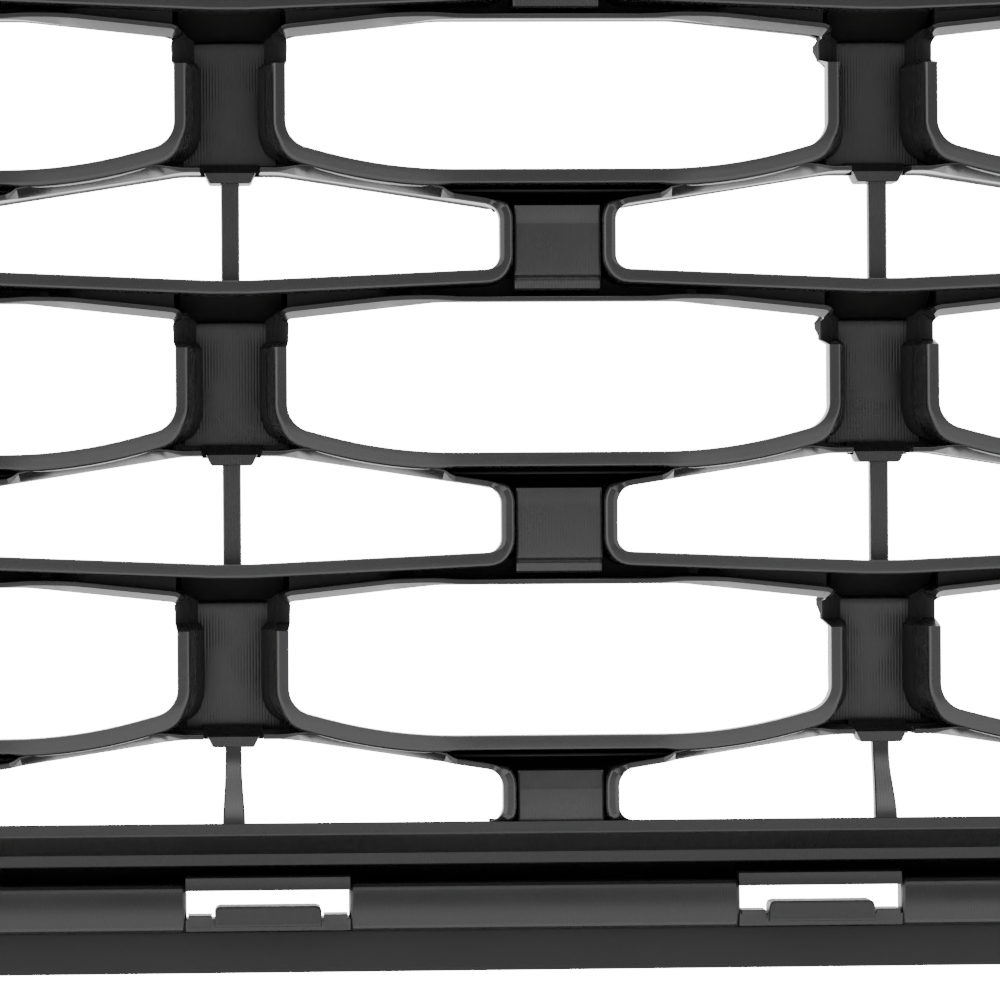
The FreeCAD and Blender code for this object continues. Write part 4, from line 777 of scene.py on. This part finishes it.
def finish_of(name, colour, rough, bump=0.0, scale=900.0, metallic=0.0, specular=0.5, mottle=0.12,
              lines=0.0, line_pitch=0.55, coat=0.0, stretch=(1, 1, 1), painted_shade_depths=None):
    """A surface finish: mottled colour and sheen from noise in object space, with fine lines if asked.
    The last argument gives two depths below the lips, in millimetres, between which its colour darkens to half, a
    painted shade of the pockets, and it turns duller."""
    material = bpy.data.materials.new(name)
    material.use_nodes = True
    nodes, links = material.node_tree.nodes, material.node_tree.links
    shader = nodes["Principled BSDF"]
    place = nodes.new("ShaderNodeTexCoord")
    squash = nodes.new("ShaderNodeMapping")
    squash.inputs["Scale"].default_value = stretch
    links.new(place.outputs["Object"], squash.inputs["Vector"])
    coarse, fine = nodes.new("ShaderNodeTexNoise"), nodes.new("ShaderNodeTexNoise")
    coarse.inputs["Scale"].default_value = 38.0
    coarse.inputs["Detail"].default_value = 4.0
    fine.inputs["Scale"].default_value = scale
    fine.inputs["Detail"].default_value = 3.0
    for n in (coarse, fine):
        links.new(squash.outputs["Vector"], n.inputs["Vector"])
    tint = nodes.new("ShaderNodeMix")
    tint.data_type = "RGBA"
    dark = [c * (1 - mottle) for c in colour]
    light = [min(1, c * (1 + mottle)) for c in colour]
    tint.inputs["A"].default_value = (*dark, 1)
    tint.inputs["B"].default_value = (*light, 1)
    links.new(coarse.outputs["Fac"], tint.inputs["Factor"])
    links.new(tint.outputs["Result"], shader.inputs["Base Color"])
    sheen = nodes.new("ShaderNodeMapRange")
    sheen.inputs["From Min"].default_value = 0.3
    sheen.inputs["From Max"].default_value = 0.7
    sheen.inputs["To Min"].default_value = max(0.02, rough - 0.05)
    sheen.inputs["To Max"].default_value = min(1, rough + 0.05)
    links.new(coarse.outputs["Fac"], sheen.inputs["Value"])
    links.new(sheen.outputs["Result"], shader.inputs["Roughness"])
    height = fine.outputs["Fac"]
    if lines:
        wave = nodes.new("ShaderNodeTexWave")
        wave.bands_direction = "X"
        wave.inputs["Scale"].default_value = 2 * math.pi / (line_pitch * MM) / 20.0
        wave.inputs["Distortion"].default_value = 0.6
        wave.inputs["Detail"].default_value = 1.0
        wave.inputs["Detail Scale"].default_value = 2.0
        links.new(place.outputs["Object"], wave.inputs["Vector"])
        patchy = nodes.new("ShaderNodeTexNoise")
        patchy.inputs["Scale"].default_value = 160.0
        links.new(place.outputs["Object"], patchy.inputs["Vector"])
        strength = nodes.new("ShaderNodeMapRange")
        strength.inputs["From Min"].default_value = 0.36
        strength.inputs["From Max"].default_value = 0.56
        strength.inputs["To Max"].default_value = lines
        links.new(patchy.outputs["Fac"], strength.inputs["Value"])
        level = nodes.new("ShaderNodeMath")
        level.operation = "SUBTRACT"
        level.inputs[1].default_value = 0.5
        links.new(wave.outputs["Fac"], level.inputs[0])
        scaled = nodes.new("ShaderNodeMath")
        scaled.operation = "MULTIPLY"
        links.new(level.outputs[0], scaled.inputs[0])
        links.new(strength.outputs["Result"], scaled.inputs[1])
        faint = nodes.new("ShaderNodeMath")
        faint.operation = "MULTIPLY"
        faint.inputs[1].default_value = 0.25
        links.new(height, faint.inputs[0])
        add = nodes.new("ShaderNodeMath")
        links.new(scaled.outputs[0], add.inputs[0])
        links.new(faint.outputs[0], add.inputs[1])
        height = add.outputs[0]
    if bump or lines:
        relief = nodes.new("ShaderNodeBump")
        relief.inputs["Strength"].default_value = max(bump, 0.05)
        relief.inputs["Distance"].default_value = 0.0002
        links.new(height, relief.inputs["Height"])
        links.new(relief.outputs["Normal"], shader.inputs["Normal"])
    shader.inputs["Metallic"].default_value = metallic
    shader.inputs["Specular IOR Level"].default_value = specular
    # Painted shade: between the two depths the base colour is multiplied down to half, standing in for the shade
    # deep in the pockets; the rising roughness there is not painted.
    if painted_shade_depths:
        apart = nodes.new("ShaderNodeSeparateXYZ")
        links.new(place.outputs["Object"], apart.inputs[0])
        shade = nodes.new("ShaderNodeMix")
        shade.data_type = "RGBA"
        shade.blend_type = "MULTIPLY"
        shade.inputs["B"].default_value = (0.5, 0.5, 0.5, 1)
        painted_shade_ramp = nodes.new("ShaderNodeMapRange")
        painted_shade_ramp.inputs["From Min"].default_value = (Y_LIP - painted_shade_depths[0]) * MM
        painted_shade_ramp.inputs["From Max"].default_value = (Y_LIP - painted_shade_depths[1]) * MM
        links.new(apart.outputs["Y"], painted_shade_ramp.inputs["Value"])
        links.new(painted_shade_ramp.outputs["Result"], shade.inputs["Factor"])
        links.new(tint.outputs["Result"], shade.inputs["A"])
        links.new(shade.outputs["Result"], shader.inputs["Base Color"])
        dull = nodes.new("ShaderNodeMapRange")
        dull.inputs["To Max"].default_value = 0.9
        links.new(painted_shade_ramp.outputs["Result"], dull.inputs["Value"])
        links.new(sheen.outputs["Result"], dull.inputs["To Min"])
        links.new(dull.outputs["Result"], shader.inputs["Roughness"])
    if coat:
        shader.inputs["Coat Weight"].default_value = coat
        shader.inputs["Coat Roughness"].default_value = 0.08
    return material


SATIN_BLACK = (0.0115, 0.0117, 0.0116)
# Painted shade: from 8.5 mm below the lips this black darkens, reaching half at 12.5 mm.
MOULDED = finish_of("satin_moulded_black", SATIN_BLACK, 0.26, bump=0.05, mottle=0.06, painted_shade_depths=(8.5, 12.5))
MACHINED = finish_of("satin_moulded_black_tool_lined", SATIN_BLACK, 0.3, bump=0.2, mottle=0.06, lines=1.0)
# Painted shade: a darker, less reflective copy of the moulded black, used for the hollows, pocket backs and valleys
# where shade falls.
PAINTED_SHADE_BLACK = finish_of("painted_shade_recess_black", (0.0045, 0.0046, 0.0045), 0.5, bump=0.05, mottle=0.1, specular=0.2)
MATT = finish_of("matt_moulded_black", (0.007, 0.0072, 0.0071), 0.4, bump=0.08, mottle=0.1, specular=0.27)
MATT_LINED = finish_of("matt_moulded_black_tool_lined", (0.009, 0.0092, 0.0091), 0.34, bump=0.15, mottle=0.08,
                       specular=0.4, lines=0.9)
PLATING = finish_of("satin_bright_plating", (0.36, 0.37, 0.385), 0.2, bump=0.02, metallic=1.0, mottle=0.03)
BRACKET = finish_of("bracket_grained_black", (0.035, 0.035, 0.036), 0.52, bump=0.25, scale=1400.0)
SCREW = finish_of("black_zinc_steel", (0.09, 0.09, 0.095), 0.34, bump=0.05, metallic=0.9)
NYLON = finish_of("nylon_black", (0.03, 0.03, 0.032), 0.3, bump=0.06)
RUBBER = finish_of("rubber_black", (0.025, 0.025, 0.026), 0.72, bump=0.3, scale=700.0)
FOAM = finish_of("foam_grey", (0.07, 0.07, 0.075), 0.95, bump=0.9, scale=500.0, mottle=0.3)
COATED = finish_of("electro_coated_steel", (0.04, 0.04, 0.043), 0.4, bump=0.06, coat=0.2)
ZINC = finish_of("zinc_spring_steel", (0.33, 0.335, 0.34), 0.33, bump=0.05, metallic=1.0, stretch=(1, 1, 5))

FINISH = {
    "moulded_black": MOULDED, "bright_plating": PLATING, "bracket_black": BRACKET,
    "black_screw_steel": SCREW, "nylon_black": NYLON, "rubber_black": RUBBER,
    "foam_grey": FOAM, "coated_steel": COATED, "zinc_spring_steel": ZINC,
}
CAD_CREASE = 32  # degrees, above which an edge of a CAD piece stays sharp
slot_of = {part["node"]: part["material_slot"] for part in frame["record"]["subparts"]}
for node, thing in frame["nodes"].items():
    thing.data.materials.clear()
    thing.data.materials.append(FINISH[slot_of[node]])
    thing.data.polygons.foreach_set("use_smooth", np.ones(len(thing.data.polygons), bool))
    thing.data.set_sharp_from_angle(angle=math.radians(CAD_CREASE))


def moulding(shell, name, material=MOULDED, crease=14.5):
    """Makes a piece of the grille insert: it rides the grille body and stands for grille_insert."""
    thing = shell.make(name, material, crease)
    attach(thing, "grille")
    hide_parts("grille_insert")
    return thing


for r in range(ROWS):
    lift = (0, 0, Z_TOP - TOP_RAIL - r * PITCH_Z)
    rings, fill, hollows = row_shells(r)
    placed = Shell()
    placed.merge(rings, lift)
    moulding(placed, "insert_rings_row_%d" % (r + 1))
    placed = Shell()
    placed.merge(fill, lift)
    moulding(placed, "insert_posts_row_%d" % (r + 1), MACHINED)
    placed = Shell()
    placed.merge(front_face(r), lift)
    moulding(placed, "insert_face_row_%d" % (r + 1))
    placed = Shell()
    placed.merge(hollows, lift)
    if r:
        placed.merge(valleys(), lift)
    # The hollows and valleys take the darker copy of the black: painted shade.
    moulding(placed, "insert_hollows_row_%d" % (r + 1), PAINTED_SHADE_BLACK)
rail, flange = rail_shell()
moulding(rail, "insert_lower_rail", MATT_LINED)
moulding(flange, "insert_lower_flange", MATT)
moulding(top_shell(), "insert_top_band")


# ---- studio ----------------------------------------------------------------

def plain(name, colour, rough):
    """A flat material for the studio, with one colour and one roughness."""
    material = bpy.data.materials.new(name)
    material.use_nodes = True
    shader = material.node_tree.nodes["Principled BSDF"]
    shader.inputs["Base Color"].default_value = (*colour, 1)
    shader.inputs["Roughness"].default_value = rough
    return material


floor_z = cad_low.z - 0.25
mesh = bpy.data.meshes.new("studio_floor")
corners = [(-4, -2.3, floor_z), (4, -2.3, floor_z), (4, 4, floor_z), (-4, 4, floor_z)]
mesh.from_pydata(corners, [], [(0, 1, 2, 3)])
floor = bpy.data.objects.new("studio_floor", mesh)
mesh.materials.append(plain("pale_paper", (0.93, 0.93, 0.93), 0.9))
bpy.context.scene.collection.objects.link(floor)

world = bpy.data.worlds.new("studio")
world.use_nodes = True
sky, wires = world.node_tree.nodes, world.node_tree.links
direction = sky.new("ShaderNodeTexCoord")
split = sky.new("ShaderNodeSeparateXYZ")
wires.new(direction.outputs["Generated"], split.inputs[0])
around = sky.new("ShaderNodeMapRange")
around.interpolation_type = "SMOOTHSTEP"
around.inputs["From Min"].default_value = 0.5
around.inputs["From Max"].default_value = 0.9
around.inputs["To Min"].default_value = 2.9
around.inputs["To Max"].default_value = 0.6
wires.new(split.outputs["Y"], around.inputs["Value"])
seen = sky.new("ShaderNodeLightPath")
pick = sky.new("ShaderNodeMix")
wires.new(seen.outputs["Is Camera Ray"], pick.inputs["Factor"])
wires.new(around.outputs["Result"], pick.inputs["A"])
pick.inputs["B"].default_value = 18.0
wires.new(pick.outputs["Result"], sky["Background"].inputs["Strength"])
sky["Background"].inputs["Color"].default_value = (1, 1, 1, 1)
bpy.context.scene.world = world


def panel_light(name, place, aim, size, power):
    """A rectangular studio light of size (across, up) in metres, turned to face aim."""
    light = bpy.data.lights.new(name, "AREA")
    light.shape = "RECTANGLE"
    light.size, light.size_y = size
    light.energy = power
    thing = bpy.data.objects.new(name, light)
    thing.location = place
    thing.rotation_euler = (Vector(aim) - Vector(place)).to_track_quat("-Z", "Y").to_euler()
    bpy.context.scene.collection.objects.link(thing)


middle = Vector((-0.35, Y_LIP * MM, -0.2))
panel_light("overhead_panel", middle + Vector((0.2, 1.2, 1.6)), middle, (1.6, 1.0), 4)
panel_light("left_panel", middle + Vector((1.5, 1.3, 0.2)), middle, (0.5, 1.4), 5)

# The view is 1000 units wide, and lens_scale of them cover a millimetre at the lips' distance.
lens_scale = 5.513
distance = 0.94
sensor_width = 36.0
camera = bpy.data.cameras.new("camera")
camera.sensor_width = sensor_width
camera.lens = lens_scale * distance * 1000 * sensor_width / 1000
eye = bpy.data.objects.new("camera", camera)
bpy.context.scene.collection.objects.link(eye)
spot = Vector((-0.2945, Y_LIP * MM + distance, -0.2146))
look = Vector((-0.3461, Y_LIP * MM, -0.2146)) - spot
eye.location = spot
roll = math.radians(-0.36)
eye.rotation_mode = "QUATERNION"
eye.rotation_quaternion = look.to_track_quat("-Z", "Y") @ Matrix.Rotation(roll, 3, "Z").to_quaternion()
camera.clip_end = 50
bpy.context.scene.camera = eye
